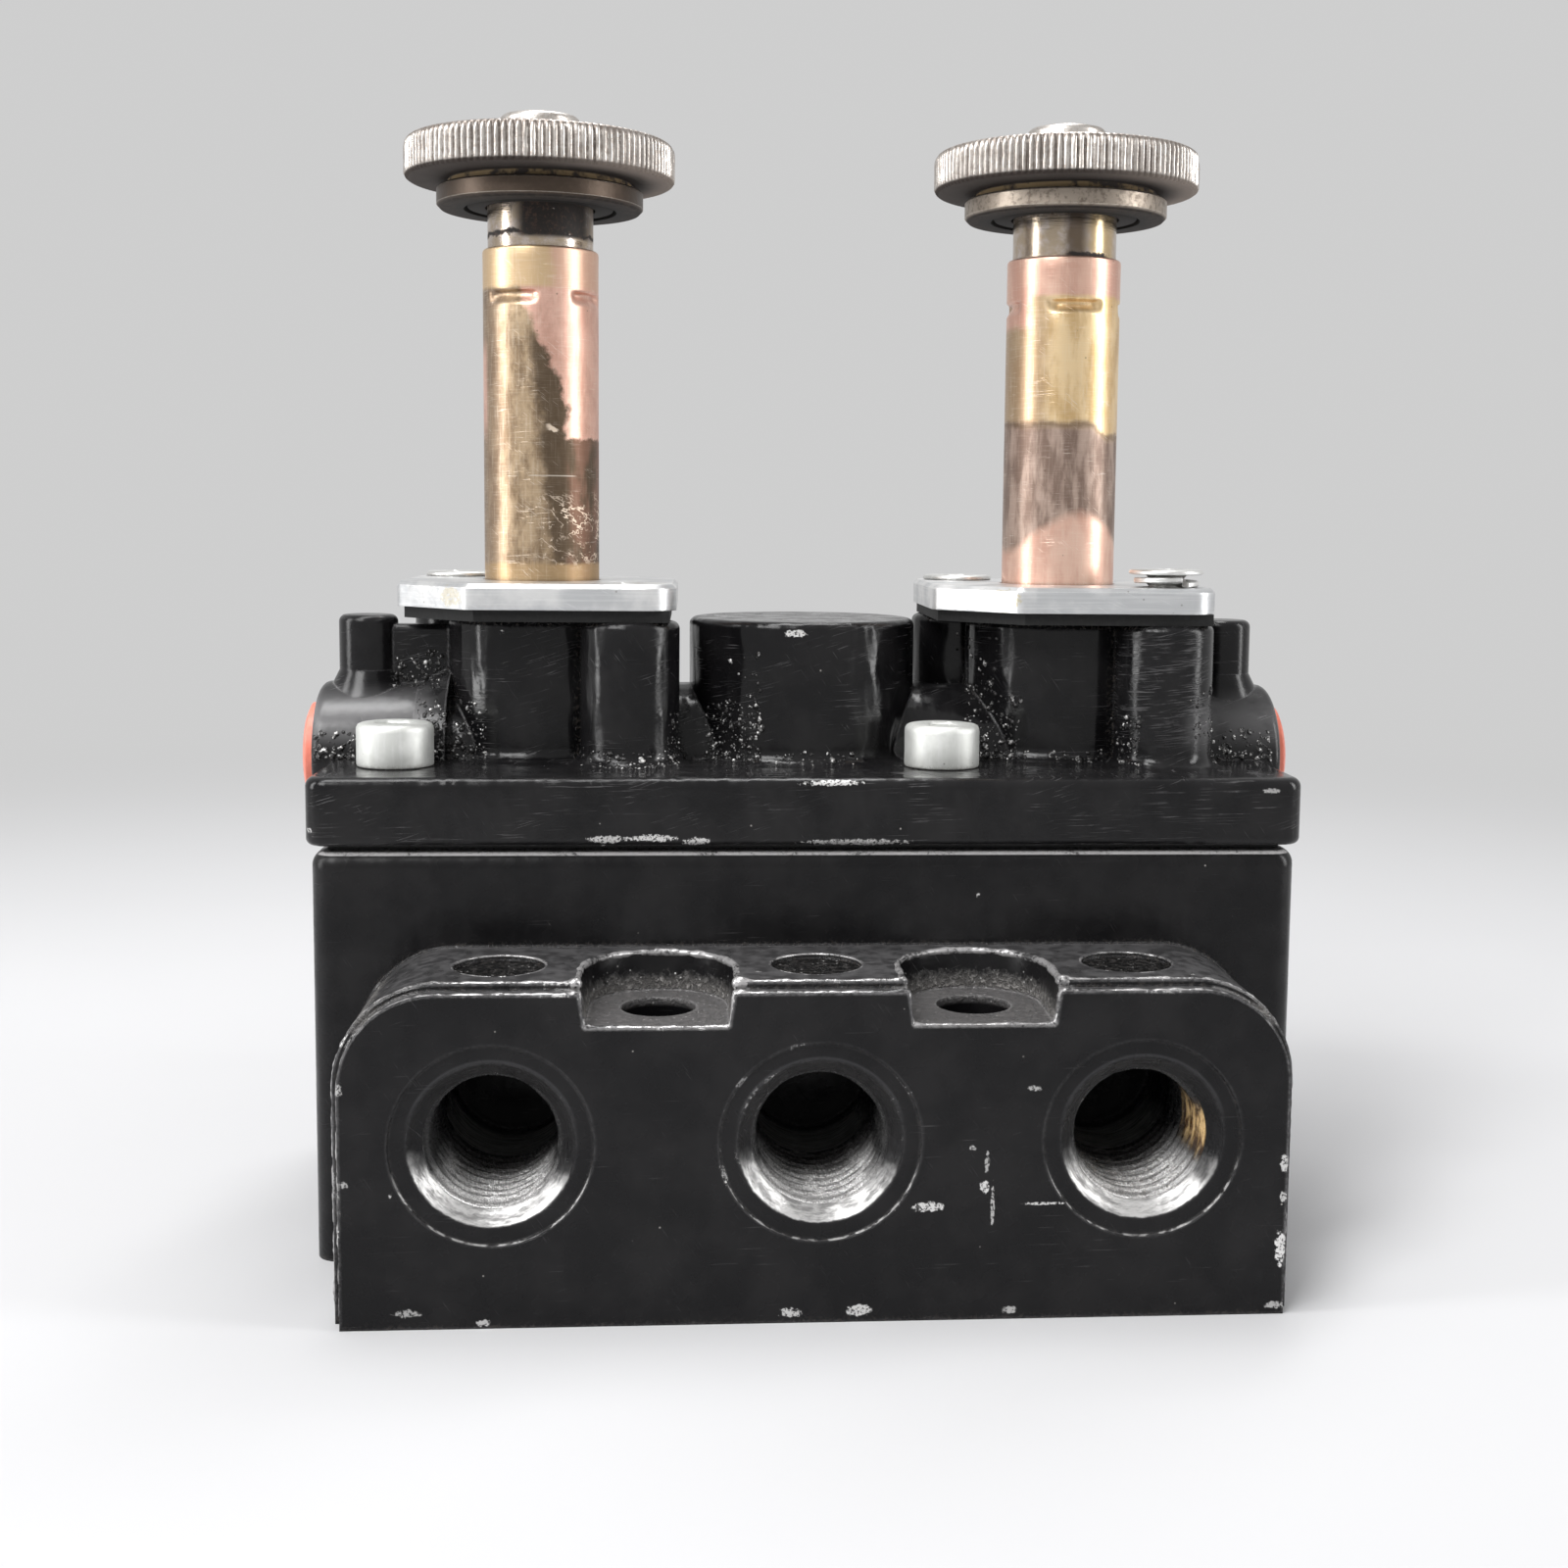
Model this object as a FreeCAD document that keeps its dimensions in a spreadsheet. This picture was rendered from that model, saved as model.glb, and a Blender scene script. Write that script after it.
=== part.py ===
import FreeCAD, Part
import Sketcher
import math
import os
import re

# Double-solenoid air valve on a side-ported sub-base, millimetres.
# The origin is at the middle of the footprint, on the surface the valve stands on.
# X runs along the spool, Y from the front ports to the rear ports, Z up.

SIZES = {
    # Sub-base block
    "base_length": 88.5,
    "base_depth": 40.0,
    "base_height": 37.2,
    "base_corner_radius": 2.2,
    "base_edge_radius": 1.5,
    # Port aprons at the front and rear of the block
    "apron_length": 80.0,
    "apron_depth": 15.0,
    "apron_height": 28.6,
    "apron_corner_radius": 8.5,
    "lip_depth": 1.5,
    "lip_step": 0.6,
    # Ports
    "station_pitch": 13.5,
    "port_height": 15.4,
    "port_radius": 5.72,
    "port_depth": 22.0,
    "port_chamfer_radius": 6.9,
    "port_chamfer_depth": 1.2,
    "spotface_radius": 8.4,
    "spotface_depth": 0.25,
    "passage_radius": 3.4,
    "front_passage_inset": 6.2,
    "rear_passage_offset": 3.0,
    # Mounting holes in the aprons
    "foot_hole_radius": 3.2,
    "foot_hole_inset": 6.9,
    "foot_recess_radius": 5.9,
    "foot_recess_depth": 3.4,
    "foot_recess_draft": 9.0,
    # Round cast marks on top of the aprons
    "mark_radius": 3.95,
    "mark_inset": 8.0,
    "mark_depth": 0.5,
    # Valve body casting
    "flange_side_overhang": 0.45,
    "flange_overhang": 0.2,
    "flange_height": 6.1,
    "flange_corner_radius": 2.0,
    "flange_edge_radius": 0.9,
    "flange_lower_edge_radius": 0.6,
    "boss_height": 13.3,
    "boss_edge_radius": 0.7,
    "root_flare": 1.2,
    "root_margin": 0.2,
    "centre_boss_radius": 11.0,
    "pilot_spacing": 50.6,
    "pilot_boss_radius": 9.0,
    "plate_screw_offset": 8.8,
    "plate_screw_boss_radius": 4.6,
    "post_inset": 4.5,
    "post_radius": 2.8,
    "post_flare": 1.2,
    "post_flare_height": 2.4,
    "web_thickness": 2.6,
    "web_drop": 0.9,
    "web_edge_radius": 0.6,
    # Spool bore and the barrel cast around it
    "bore_drop": 0.2,
    "bore_radius": 4.2,
    "barrel_radius": 7.0,
    "barrel_edge_radius": 0.9,
    "barrel_root_radius": 8.6,
    "barrel_root_length": 3.2,
    "barrel_root_overlap": 0.5,
    "chamber_radius": 5.2,
    "chamber_margin": 0.3,
    "gallery_roof": 1.8,
    # Gaskets and fastening of the body
    "base_gasket_thickness": 0.4,
    "base_gasket_inset": 1.5,
    "gasket_hole_margin": 0.5,
    "outer_screw_inset": 6.35,
    "inner_screw_x": 12.6,
    "cap_screw_radius": 2.0,
    "cap_screw_length": 12.0,
    "cap_head_radius": 3.5,
    "cap_head_gap": 0.8,
    "cap_head_height": 4.0,
    "cap_socket_width": 3.0,
    "cap_socket_depth": 2.2,
    "cap_head_chamfer": 0.4,
    "screw_hole_gap": 0.25,
    "thread_gap": 0.03,
    "screw_tip_chamfer": 0.3,
    "cutter_margin": 0.2,
    "tapped_extra_depth": 2.0,
    # Spool
    "spool_stroke": 3.0,
    "spool_core_radius": 2.9,
    "land_width": 2.8,
    "running_gap": 0.06,
    "seal_gap": 0.02,
    "seal_groove_width": 1.3,
    "seal_groove_depth": 1.1,
    "spool_half_length": 32.0,
    "piston_length": 4.0,
    "piston_spigot_radius": 1.5,
    "piston_spigot_length": 5.0,
    "piston_spigot_gap": 0.4,
    "stop_gap": 0.05,
    # End plugs, the recesses outside them and the manual override buttons
    "plug_length": 6.4,
    "barrel_recess": 2.55,
    "plug_pocket_radius": 3.1,
    "plug_pocket_depth": 3.4,
    "stem_radius": 1.9,
    "stem_reach": 2.4,
    "clip_thickness": 0.6,
    "clip_radius": 2.7,
    "clip_groove_depth": 0.45,
    "stem_groove_width": 1.0,
    "stem_groove_depth": 0.75,
    "stem_seal_section": 0.36,
    "button_gap": 0.08,
    "button_proud": 1.35,
    "button_travel": 1.5,
    "button_radius": 4.9,
    "button_dome": 0.5,
    "button_pocket_inner_radius": 2.3,
    "button_pocket_radius": 3.7,
    "button_pocket_depth": 1.2,
    "button_spring_wire": 0.3,
    "button_spring_turns": 3.0,
    # Pilot head in the casting
    "flange_recess_radius": 7.2,
    "flange_recess_depth": 1.6,
    "pilot_chamber_radius": 5.5,
    "pilot_chamber_depth": 2.0,
    "orifice_thread_radius": 2.2,
    "orifice_thread_length": 2.0,
    "orifice_head_radius": 3.2,
    "orifice_head_height": 1.0,
    "nozzle_height": 0.6,
    "nozzle_tip_radius": 1.0,
    "orifice_radius": 0.6,
    "pilot_gasket_thickness": 1.1,
    "pilot_gasket_inset": 0.6,
    "tube_flange_clearance": 0.2,
    # Clamp plates and their screws
    "plate_half_width": 13.1,
    "plate_cut": 7.2,
    "plate_corner_radius": 3.0,
    "plate_cut_radius": 1.2,
    "plate_thickness": 2.4,
    "plate_bevel": 0.4,
    "plate_tube_gap": 0.2,
    "plate_screw_radius": 1.97,
    "plate_screw_length": 9.0,
    "plate_head_radius": 3.5,
    "plate_head_height": 0.5,
    "plate_head_chamfer": 0.2,
    "plate_socket_width": 2.5,
    "plate_socket_depth": 0.35,
    "flat_head_radius": 3.6,
    "flat_head_depth": 1.6,
    "flat_socket_depth": 1.4,
    "loose_screw_lift": 1.2,
    # Armature tubes
    "tube_radius": 5.5,
    "tube_wall": 0.45,
    "tube_flange_radius": 7.0,
    "tube_flange_thickness": 1.3,
    "tube_edge": 0.15,
    "tube_top": 91.7,
    "crimp_drop": 4.35,
    "crimp_height": 1.1,
    "crimp_depth": 0.35,
    "crimp_slope": 0.3,
    "crimp_overlap": 0.1,
    "crimp_angle": 64.0,
    "tube_seal_section": 0.68,
    "tube_seal_inset": 0.05,
    # Fixed cores, armatures and shading rings
    "core_gap": 0.05,
    "neck_rise": 4.5,
    "stud_radius": 4.0,
    "stud_length": 3.4,
    "stud_chamfer": 0.4,
    "neck_chamfer": 0.3,
    "core_groove_depth": 0.5,
    "core_groove_slope": 0.15,
    "core_groove_margin": 0.1,
    "shading_ring_inner_radius": 3.3,
    "shading_ring_width": 0.7,
    "shading_ring_depth": 1.2,
    "armature_length": 15.75,
    "armature_gap": 0.08,
    "armature_stroke": 1.0,
    "armature_chamfer": 0.3,
    "armature_slot_width": 1.0,
    "armature_slot_depth": 0.6,
    "pad_radius": 1.8,
    "pad_thickness": 1.8,
    "pad_proud": 0.2,
    "spring_pocket_radius": 2.6,
    "spring_pocket_depth": 9.0,
    "armature_spring_radius": 2.05,
    "armature_spring_wire": 0.45,
    "armature_spring_turns": 6.0,
    # Knurled nuts with captive washers
    "washer_rise": 3.8,
    "washer_radius": 9.75,
    "washer_thickness": 1.9,
    "washer_edge": 0.35,
    "washer_pocket_radius": 7.2,
    "washer_pocket_depth": 0.8,
    "sleeve_radius": 6.2,
    "sleeve_lip_radius": 6.9,
    "sleeve_lip_height": 0.4,
    "captive_gap": 0.15,
    "sleeve_neck_gap": 0.2,
    "groove_radius": 8.7,
    "groove_height": 0.7,
    "groove_gap": 0.05,
    "rim_radius": 12.8,
    "rim_height": 3.7,
    "rim_edge": 0.6,
    "knurl_teeth": 120,
    "knurl_depth": 0.3,
    "knurl_half_width": 0.27,
    "nut_thread_gap": 0.05,
    "nut_thread_rise": 0.1,
    "nut_thread_depth": 3.7,
    "nut_boss_radius": 3.8,
    "nut_boss_height": 2.5,
    "nut_boss_edge": 0.5,
}

# Levels and places that follow from the sizes above.
DERIVED = {
    "apron_face": "base_depth / 2 + apron_depth",
    "front_passage_offset": "base_depth / 2 - front_passage_inset",
    "flange_length": "base_length + 2 * flange_side_overhang",
    "flange_depth": "base_depth + 2 * flange_overhang",
    "flange_bottom": "base_height + base_gasket_thickness",
    "flange_top": "flange_bottom + flange_height",
    "boss_top": "flange_top + boss_height",
    "bore_axis": "flange_top - bore_drop",
    "pilot_x": "pilot_spacing / 2",
    "outer_screw_x": "base_length / 2 - outer_screw_inset",
    "cap_screw_y": "barrel_radius + cap_head_radius + cap_head_gap",
    "land_inner": "station_pitch / 4",
    "land_outer": "station_pitch * 7 / 4",
    "piston_end": "spool_half_length + piston_length",
    "plug_inner": "piston_end + spool_stroke / 2 + stop_gap",
    "plug_outer": "plug_inner + plug_length",
    "barrel_end": "plug_outer + barrel_recess",
    "post_x": "barrel_end - post_inset",
    "button_face": "barrel_end + button_proud",
    "button_back": "plug_outer + button_travel + stop_gap",
    "stem_end": "plug_inner + stem_reach",
    "clip_seat": "plug_inner + plug_pocket_depth",
    "stem_ring": "(clip_seat + plug_outer) / 2",
    "recess_floor": "boss_top - flange_recess_depth",
    "chamber_floor": "recess_floor - pilot_chamber_depth",
    "nozzle_top": "chamber_floor + orifice_head_height + nozzle_height",
    "plate_bottom": "boss_top + pilot_gasket_thickness",
    "plate_top": "plate_bottom + plate_thickness",
    "tube_bottom": "plate_bottom - tube_flange_thickness",
    "tube_bore": "tube_radius - tube_wall",
    "crimp_middle": "tube_top - crimp_drop",
    "pad_face": "nozzle_top + stop_gap",
    "armature_bottom": "pad_face + pad_proud",
    "armature_top": "armature_bottom + armature_length",
    "armature_radius": "tube_bore - armature_gap",
    "core_bottom": "armature_top + armature_stroke + stop_gap",
    "core_shaft_radius": "tube_bore - core_gap",
    "neck_top": "tube_top + neck_rise",
    "washer_bottom": "tube_top + washer_rise",
    "washer_top": "washer_bottom + washer_thickness",
    "rim_bottom": "washer_top + groove_height",
    "rim_top": "rim_bottom + rim_height",
    "nut_thread_start": "washer_top + nut_thread_rise",
}

LETTERS = re.compile(r"[A-Za-z_]\w*")
SIDES = (("left", -1), ("right", 1))

# Port stations counted in pitches from the middle: exhaust, supply and exhaust at the
# front, the two cylinder ports at the rear. The mounting holes lie between them.
FRONT_PORTS = (-2, 0, 2)
REAR_PORTS = (-1, 1)
FRONT_FEET = (-1, 1)
REAR_FEET = (-2, 2)

# Where the spool's four sealing lands lie from its middle.
LANDS = ("-1 * land_outer", "-1 * land_inner", "land_inner", "land_outer")

# Where the screws stand: two at the front and two at the rear of the flange.
CAP_SCREW_SPOTS = (
    ("-1 * outer_screw_x", "-1 * cap_screw_y"),
    ("inner_screw_x", "-1 * cap_screw_y"),
    ("outer_screw_x", "cap_screw_y"),
    ("-1 * inner_screw_x", "cap_screw_y"),
)

# Turn of each tube about its axis, in degrees, which sets where its staking marks lie.
TUBE_TURN = {"left": 244.0, "right": 273.0}

# Turn of the outlines of upright bosses, in degrees, which keeps their seams off the barrel.
SEAM_TURN = 37.0

# The button's domed face, as parts of its radius and of the dome's height.
DOME_STEPS = ((0.85, 0.35), (0.5, 0.1))

doc = FreeCAD.newDocument("solenoid_air_valve")
sheet = doc.addObject("Spreadsheet::Sheet", "Sizes")
for row, (name, number) in enumerate(SIZES.items(), start=1):
    sheet.set(f"A{row}", name)
    sheet.set(f"B{row}", str(number))
    sheet.setAlias(f"B{row}", name)
doc.recompute()


def formula(text):
    """Write a formula of size names as an expression on the sheet."""
    def named(match):
        word = match.group()
        if word in DERIVED:
            return f"({formula(DERIVED[word])})"
        return f"Sizes.{word}" if word in SIZES else word
    return LETTERS.sub(named, str(text))


def size(text):
    """Work out a formula of size names as a number."""
    return float(sheet.evalExpression(formula(text)))


def bind(item, **formulas):
    """Tie properties of an object to formulas of size names."""
    for name, text in formulas.items():
        item.setExpression(name, formula(text))


def place(item, x="0", y="0", z="0"):
    """Tie the position of an object to formulas of size names."""
    for axis, text in (("x", x), ("y", y), ("z", z)):
        item.setExpression(f"Placement.Base.{axis}", formula(text))


def new_body(label):
    body = doc.addObject("PartDesign::Body", label)
    body.Label = label
    return body


def origin_item(body, role):
    return next(item for item in body.Origin.OriginFeatures if item.Role == role)


def new_sketch(body, name, role, offset=None):
    """Start a sketch on one of the body's own planes, raised by an offset along its normal."""
    sketch = body.newObject("Sketcher::SketchObject", name)
    sketch.AttachmentSupport = [(origin_item(body, role), "")]
    sketch.MapMode = "FlatFace"
    if offset is not None:
        sketch.setExpression("AttachmentOffset.Base.z", formula(offset))
    return sketch


def pin_point(sketch, geometry, end, x, y):
    """Hold a point of a sketch at formulas of size names."""
    for kind, text in (("DistanceX", x), ("DistanceY", y)):
        index = sketch.addConstraint(Sketcher.Constraint(kind, -1, 1, geometry, end, size(text)))
        sketch.setExpression(f"Constraints[{index}]", formula(text))


def rounded_ends(corners, index):
    """Where the arc of a rounded right-angled corner starts and ends, as formulas."""
    x, y, radius = corners[index]
    ends = []
    for other in (corners[index - 1], corners[(index + 1) % len(corners)]):
        along_x = size(other[0]) - size(x)
        along_y = size(other[1]) - size(y)
        if abs(along_x) > abs(along_y):
            ends.append((f"{x} + {math.copysign(1, along_x):.0f} * ({radius})", y))
        else:
            ends.append((x, f"{y} + {math.copysign(1, along_y):.0f} * ({radius})"))
    return ends


def polygon(sketch, corners):
    """Draw a closed outline through corners given as formulas; a third one rounds a right angle."""
    stops = []
    for index, corner in enumerate(corners):
        stops.append([corner] if len(corner) == 2 else rounded_ends(corners, index))
    points = [[FreeCAD.Vector(size(x), size(y), 0) for x, y in stop] for stop in stops]
    count = len(corners)
    lines = []
    for i in range(count):
        segment = Part.LineSegment(points[i][-1], points[(i + 1) % count][0])
        lines.append(sketch.addGeometry(segment))
    for i, corner in enumerate(corners):
        before, after = lines[i - 1], lines[i]
        if len(corner) == 2:
            sketch.addConstraint(Sketcher.Constraint("Coincident", before, 2, after, 1))
        else:
            add_corner_arc(sketch, before, after, corner, points[i])
            pin_point(sketch, before, 2, *stops[i][0])
        pin_point(sketch, after, 1, *stops[i][-1])


def add_corner_arc(sketch, before, after, corner, ends):
    """Join two lines of an outline by the arc that rounds their corner."""
    radius = size(corner[2])
    tip = FreeCAD.Vector(size(corner[0]), size(corner[1]), 0)
    centre = ends[0] + ends[1] - tip
    start, end = (math.atan2(point.y - centre.y, point.x - centre.x) for point in ends)
    clockwise = (end - start) % (2 * math.pi) > math.pi
    if clockwise:
        start, end = end, start
    ring = Part.Circle(centre, FreeCAD.Vector(0, 0, 1), radius)
    arc = sketch.addGeometry(Part.ArcOfCircle(ring, start, end))
    first, second = (2, 1) if clockwise else (1, 2)
    sketch.addConstraint(Sketcher.Constraint("Coincident", before, 2, arc, first))
    sketch.addConstraint(Sketcher.Constraint("Coincident", after, 1, arc, second))
    index = sketch.addConstraint(Sketcher.Constraint("Radius", arc, radius))
    sketch.setExpression(f"Constraints[{index}]", formula(corner[2]))


def circle(sketch, x, y, radius):
    """Draw a circle with its centre and radius given as formulas."""
    centre = FreeCAD.Vector(size(x), size(y), 0)
    ring = sketch.addGeometry(Part.Circle(centre, FreeCAD.Vector(0, 0, 1), size(radius)))
    pin_point(sketch, ring, 3, x, y)
    index = sketch.addConstraint(Sketcher.Constraint("Radius", ring, size(radius)))
    sketch.setExpression(f"Constraints[{index}]", formula(radius))


def obround(sketch, x, y_from, y_to, radius):
    """Draw a slot along the sketch's Y between two centres given as formulas."""
    centre_x, low, high, r = size(x), size(y_from), size(y_to), size(radius)
    up = FreeCAD.Vector(0, 0, 1)
    top_circle = Part.Circle(FreeCAD.Vector(centre_x, high, 0), up, r)
    low_circle = Part.Circle(FreeCAD.Vector(centre_x, low, 0), up, r)
    top = sketch.addGeometry(Part.ArcOfCircle(top_circle, 0, math.pi))
    bottom = sketch.addGeometry(Part.ArcOfCircle(low_circle, math.pi, 2 * math.pi))
    corners = [FreeCAD.Vector(centre_x + side * r, level, 0) for side, level in
               ((-1, high), (-1, low), (1, low), (1, high))]
    left = sketch.addGeometry(Part.LineSegment(corners[0], corners[1]))
    right = sketch.addGeometry(Part.LineSegment(corners[2], corners[3]))
    for first, first_end, second, second_end in (
            (top, 2, left, 1), (left, 2, bottom, 1), (bottom, 2, right, 1), (right, 2, top, 1)):
        sketch.addConstraint(Sketcher.Constraint("Tangent", first, first_end, second, second_end))
    pin_point(sketch, top, 3, x, y_to)
    pin_point(sketch, bottom, 3, x, y_from)
    index = sketch.addConstraint(Sketcher.Constraint("Radius", top, r))
    sketch.setExpression(f"Constraints[{index}]", formula(radius))


def pad(body, name, sketch, length, reverse=False):
    feature = body.newObject("PartDesign::Pad", name)
    feature.Profile = sketch
    feature.Reversed = reverse
    bind(feature, Length=length)
    return feature


def pocket(body, name, sketch, length, reverse=False, draft=None):
    feature = body.newObject("PartDesign::Pocket", name)
    feature.Profile = sketch
    feature.Reversed = reverse
    bind(feature, Length=length)
    if draft is not None:
        bind(feature, TaperAngle=draft)
    return feature


def revolve(body, name, corners, along_x=False, cut=False, angle=360, x=None, y=None, z=None):
    """Turn an outline about the body's X axis, or about an upright axis."""
    role = "XY_Plane" if along_x else "XZ_Plane"
    sketch = new_sketch(body, f"{name}_outline", role, z)
    if x is not None:
        turn = FreeCAD.Rotation(FreeCAD.Vector(0, 1, 0), SEAM_TURN)
        sketch.AttachmentOffset = FreeCAD.Placement(FreeCAD.Vector(), turn)
        sketch.setExpression("AttachmentOffset.Base.x", formula(x))
        sketch.setExpression("AttachmentOffset.Base.z", formula(f"-1 * ({y})"))
    polygon(sketch, corners)
    kind = "PartDesign::Groove" if cut else "PartDesign::Revolution"
    feature = body.newObject(kind, name)
    feature.Profile = sketch
    feature.ReferenceAxis = (sketch, ["H_Axis" if along_x else "V_Axis"])
    if angle == 360:
        feature.Angle = 360
    else:
        feature.setExpression("Angle", formula(angle))
        feature.Midplane = True
    return feature


def cylinder(body, name, radius, length, x="0", y="0", z="0", axis="z", cut=False, top_radius=None):
    """Add or cut a round bar, or a cone, that starts at a point and runs along an axis."""
    shape = "Cylinder" if top_radius is None else "Cone"
    feature = body.newObject(f"PartDesign::{'Subtractive' if cut else 'Additive'}{shape}", name)
    turns = {"z": (0, 0, 1, 0), "x": (0, 1, 0, 90), "-x": (0, 1, 0, -90), "y": (1, 0, 0, -90),
             "-y": (1, 0, 0, 90), "-z": (1, 0, 0, 180)}
    ax, ay, az, angle = turns[axis]
    turn = FreeCAD.Rotation(FreeCAD.Vector(ax, ay, az), angle)
    feature.Placement = FreeCAD.Placement(FreeCAD.Vector(), turn)
    if top_radius is None:
        bind(feature, Radius=radius, Height=length)
    else:
        bind(feature, Radius1=radius, Radius2=top_radius, Height=length)
    place(feature, x, y, z)
    return feature


def edges_where(body, test):
    """Name the edges of a body's present shape whose end and middle points pass a test."""
    doc.recompute()
    names = []
    for index, edge in enumerate(body.Shape.Edges, start=1):
        middle = edge.valueAt((edge.FirstParameter + edge.LastParameter) / 2)
        if all(test(point) for point in (edge.firstVertex().Point, middle, edge.lastVertex().Point)):
            names.append(f"Edge{index}")
    return names


def round_edges(body, name, radius, test, chamfer=False):
    """Fillet or chamfer the edges whose points pass a test."""
    names = edges_where(body, test)
    base = body.Tip
    feature = body.newObject("PartDesign::Chamfer" if chamfer else "PartDesign::Fillet", name)
    feature.Base = (base, names)
    bind(feature, **({"Size": radius} if chamfer else {"Radius": radius}))
    return feature


def near(value, text, slack=0.01):
    return abs(value - size(text)) < slack


def polar(body, name, feature, count):
    pattern = body.newObject("PartDesign::PolarPattern", name)
    pattern.Originals = [feature]
    pattern.Axis = (origin_item(body, "Z_Axis"), [""])
    pattern.Angle = 360
    pattern.setExpression("Occurrences", formula(count))
    body.Tip = pattern
    return pattern


def ring(label, major, minor, x="0", y="0", z="0", along_x=False):
    """A seal ring of round section."""
    item = doc.addObject("Part::Torus", label)
    item.Label = label
    bind(item, Radius1=major, Radius2=minor)
    if along_x:
        item.Placement.Rotation = FreeCAD.Rotation(FreeCAD.Vector(0, 1, 0), 90)
    place(item, x, y, z)
    return item


def group(label, members):
    """Several like solids that share one node."""
    item = doc.addObject("Part::Compound", label)
    item.Label = label
    item.Links = members
    return item


def copies(label, master, spots):
    """Place copies of one solid at several spots and share one node between them."""
    links = []
    for number, (x, y, z) in enumerate(spots, start=1):
        link = doc.addObject("App::Link", f"{label}_{number}")
        link.LinkedObject = master
        place(link, x, y, z)
        links.append(link)
    return group(label, links)


def coil(label, radius, wire, turns, start, end, along_x=False, flip=1):
    """A compression spring as a closed solid that follows a helix in short straight steps."""
    steps_per_turn = 12
    r, w = size(radius), size(wire) / 2
    low, high = size(start) + w, size(end) - w
    steps = round(size(turns) * steps_per_turn)
    path = []
    for step in range(steps + 1):
        angle = 2 * math.pi * step / steps_per_turn
        level = low + (high - low) * step / steps
        path.append(FreeCAD.Vector(r * math.cos(angle), r * math.sin(angle), level))
    spine = Part.makePolygon(path)
    section = Part.Wire(Part.makePolygon(
        [path[0] + FreeCAD.Vector(w * math.cos(a), 0, w * math.sin(a))
         for a in (2 * math.pi * k / 6 for k in range(7))]).Edges)
    sweep = Part.BRepOffsetAPI.MakePipeShell(Part.Wire(spine.Edges))
    sweep.setTransitionMode(1)
    sweep.setFrenetMode(False)
    sweep.add(section, False, False)
    sweep.build()
    sweep.makeSolid()
    item = doc.addObject("Part::Feature", label)
    item.Label = label
    shape = sweep.shape()
    if along_x:
        shape.rotate(FreeCAD.Vector(), FreeCAD.Vector(0, 1, 0), 90 * flip)
    item.Shape = shape
    return item


def ported_apron(body, name, side, ports, feet):
    """The lower step of the sub-base on one side, with its lip, ports, marks and mounting holes."""
    flip = "-1 * " if side < 0 else ""
    # The sketch plane's normal points to -Y, so a positive offset moves it to the front.
    for part, depth, step in (("step", "apron_depth - lip_depth", "0"), ("lip", "apron_depth", "lip_step")):
        half = f"apron_length / 2 - {step}"
        top = f"apron_height - {step}"
        corner = f"apron_corner_radius - {step}"
        sketch = new_sketch(body, f"{name}_{part}_outline", "XZ_Plane", f"{-side} * base_depth / 4")
        rounded_top(sketch, half, top, corner)
        pad(body, f"{name}_{part}", sketch, f"base_depth / 4 + {depth}", reverse=side > 0)
    outward = "-y" if side < 0 else "y"
    inward = "y" if side < 0 else "-y"
    face = f"{flip}apron_face"
    for number, station in enumerate(ports, start=1):
        x = f"{station} * station_pitch"
        tag = f"{name}_port_{number}"
        cylinder(body, f"{tag}_spotface", "spotface_radius", "spotface_depth", x, face, "port_height",
                 inward, cut=True)
        cylinder(body, f"{tag}_chamfer", "port_chamfer_radius", "port_chamfer_depth", x,
                 f"{flip}(apron_face - spotface_depth)", "port_height", inward, cut=True,
                 top_radius="port_radius")
        cylinder(body, f"{tag}_bore", "port_radius", "port_depth", x, face, "port_height", inward, cut=True)
        if side < 0:
            passage_y = "-1 * front_passage_offset"
        else:
            passage_y = "rear_passage_offset"
            cylinder(body, f"{tag}_gallery", "passage_radius", "apron_face - rear_passage_offset", x, face,
                     "port_height", inward, cut=True)
        cylinder(body, f"{tag}_passage", "passage_radius", "base_height - port_height", x, passage_y,
                 "port_height", cut=True)
        cylinder(body, f"{tag}_mark", "mark_radius", "mark_depth", x, f"{flip}(apron_face - mark_inset)",
                 "apron_height", "-z", cut=True)
    recess = new_sketch(body, f"{name}_recess_outline", "XY_Plane", "apron_height - foot_recess_depth")
    for number, station in enumerate(feet, start=1):
        x = f"{station} * station_pitch"
        near_y = f"{flip}(apron_face - foot_hole_inset)"
        far_y = f"{flip}(apron_face + foot_recess_radius)"
        obround(recess, x, far_y if side < 0 else near_y, near_y if side < 0 else far_y, "foot_recess_radius")
        cylinder(body, f"{name}_foot_hole_{number}", "foot_hole_radius", "apron_height", x, near_y, cut=True)
    pocket(body, f"{name}_recess", recess, "foot_recess_depth * 2", reverse=True, draft="foot_recess_draft")


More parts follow.
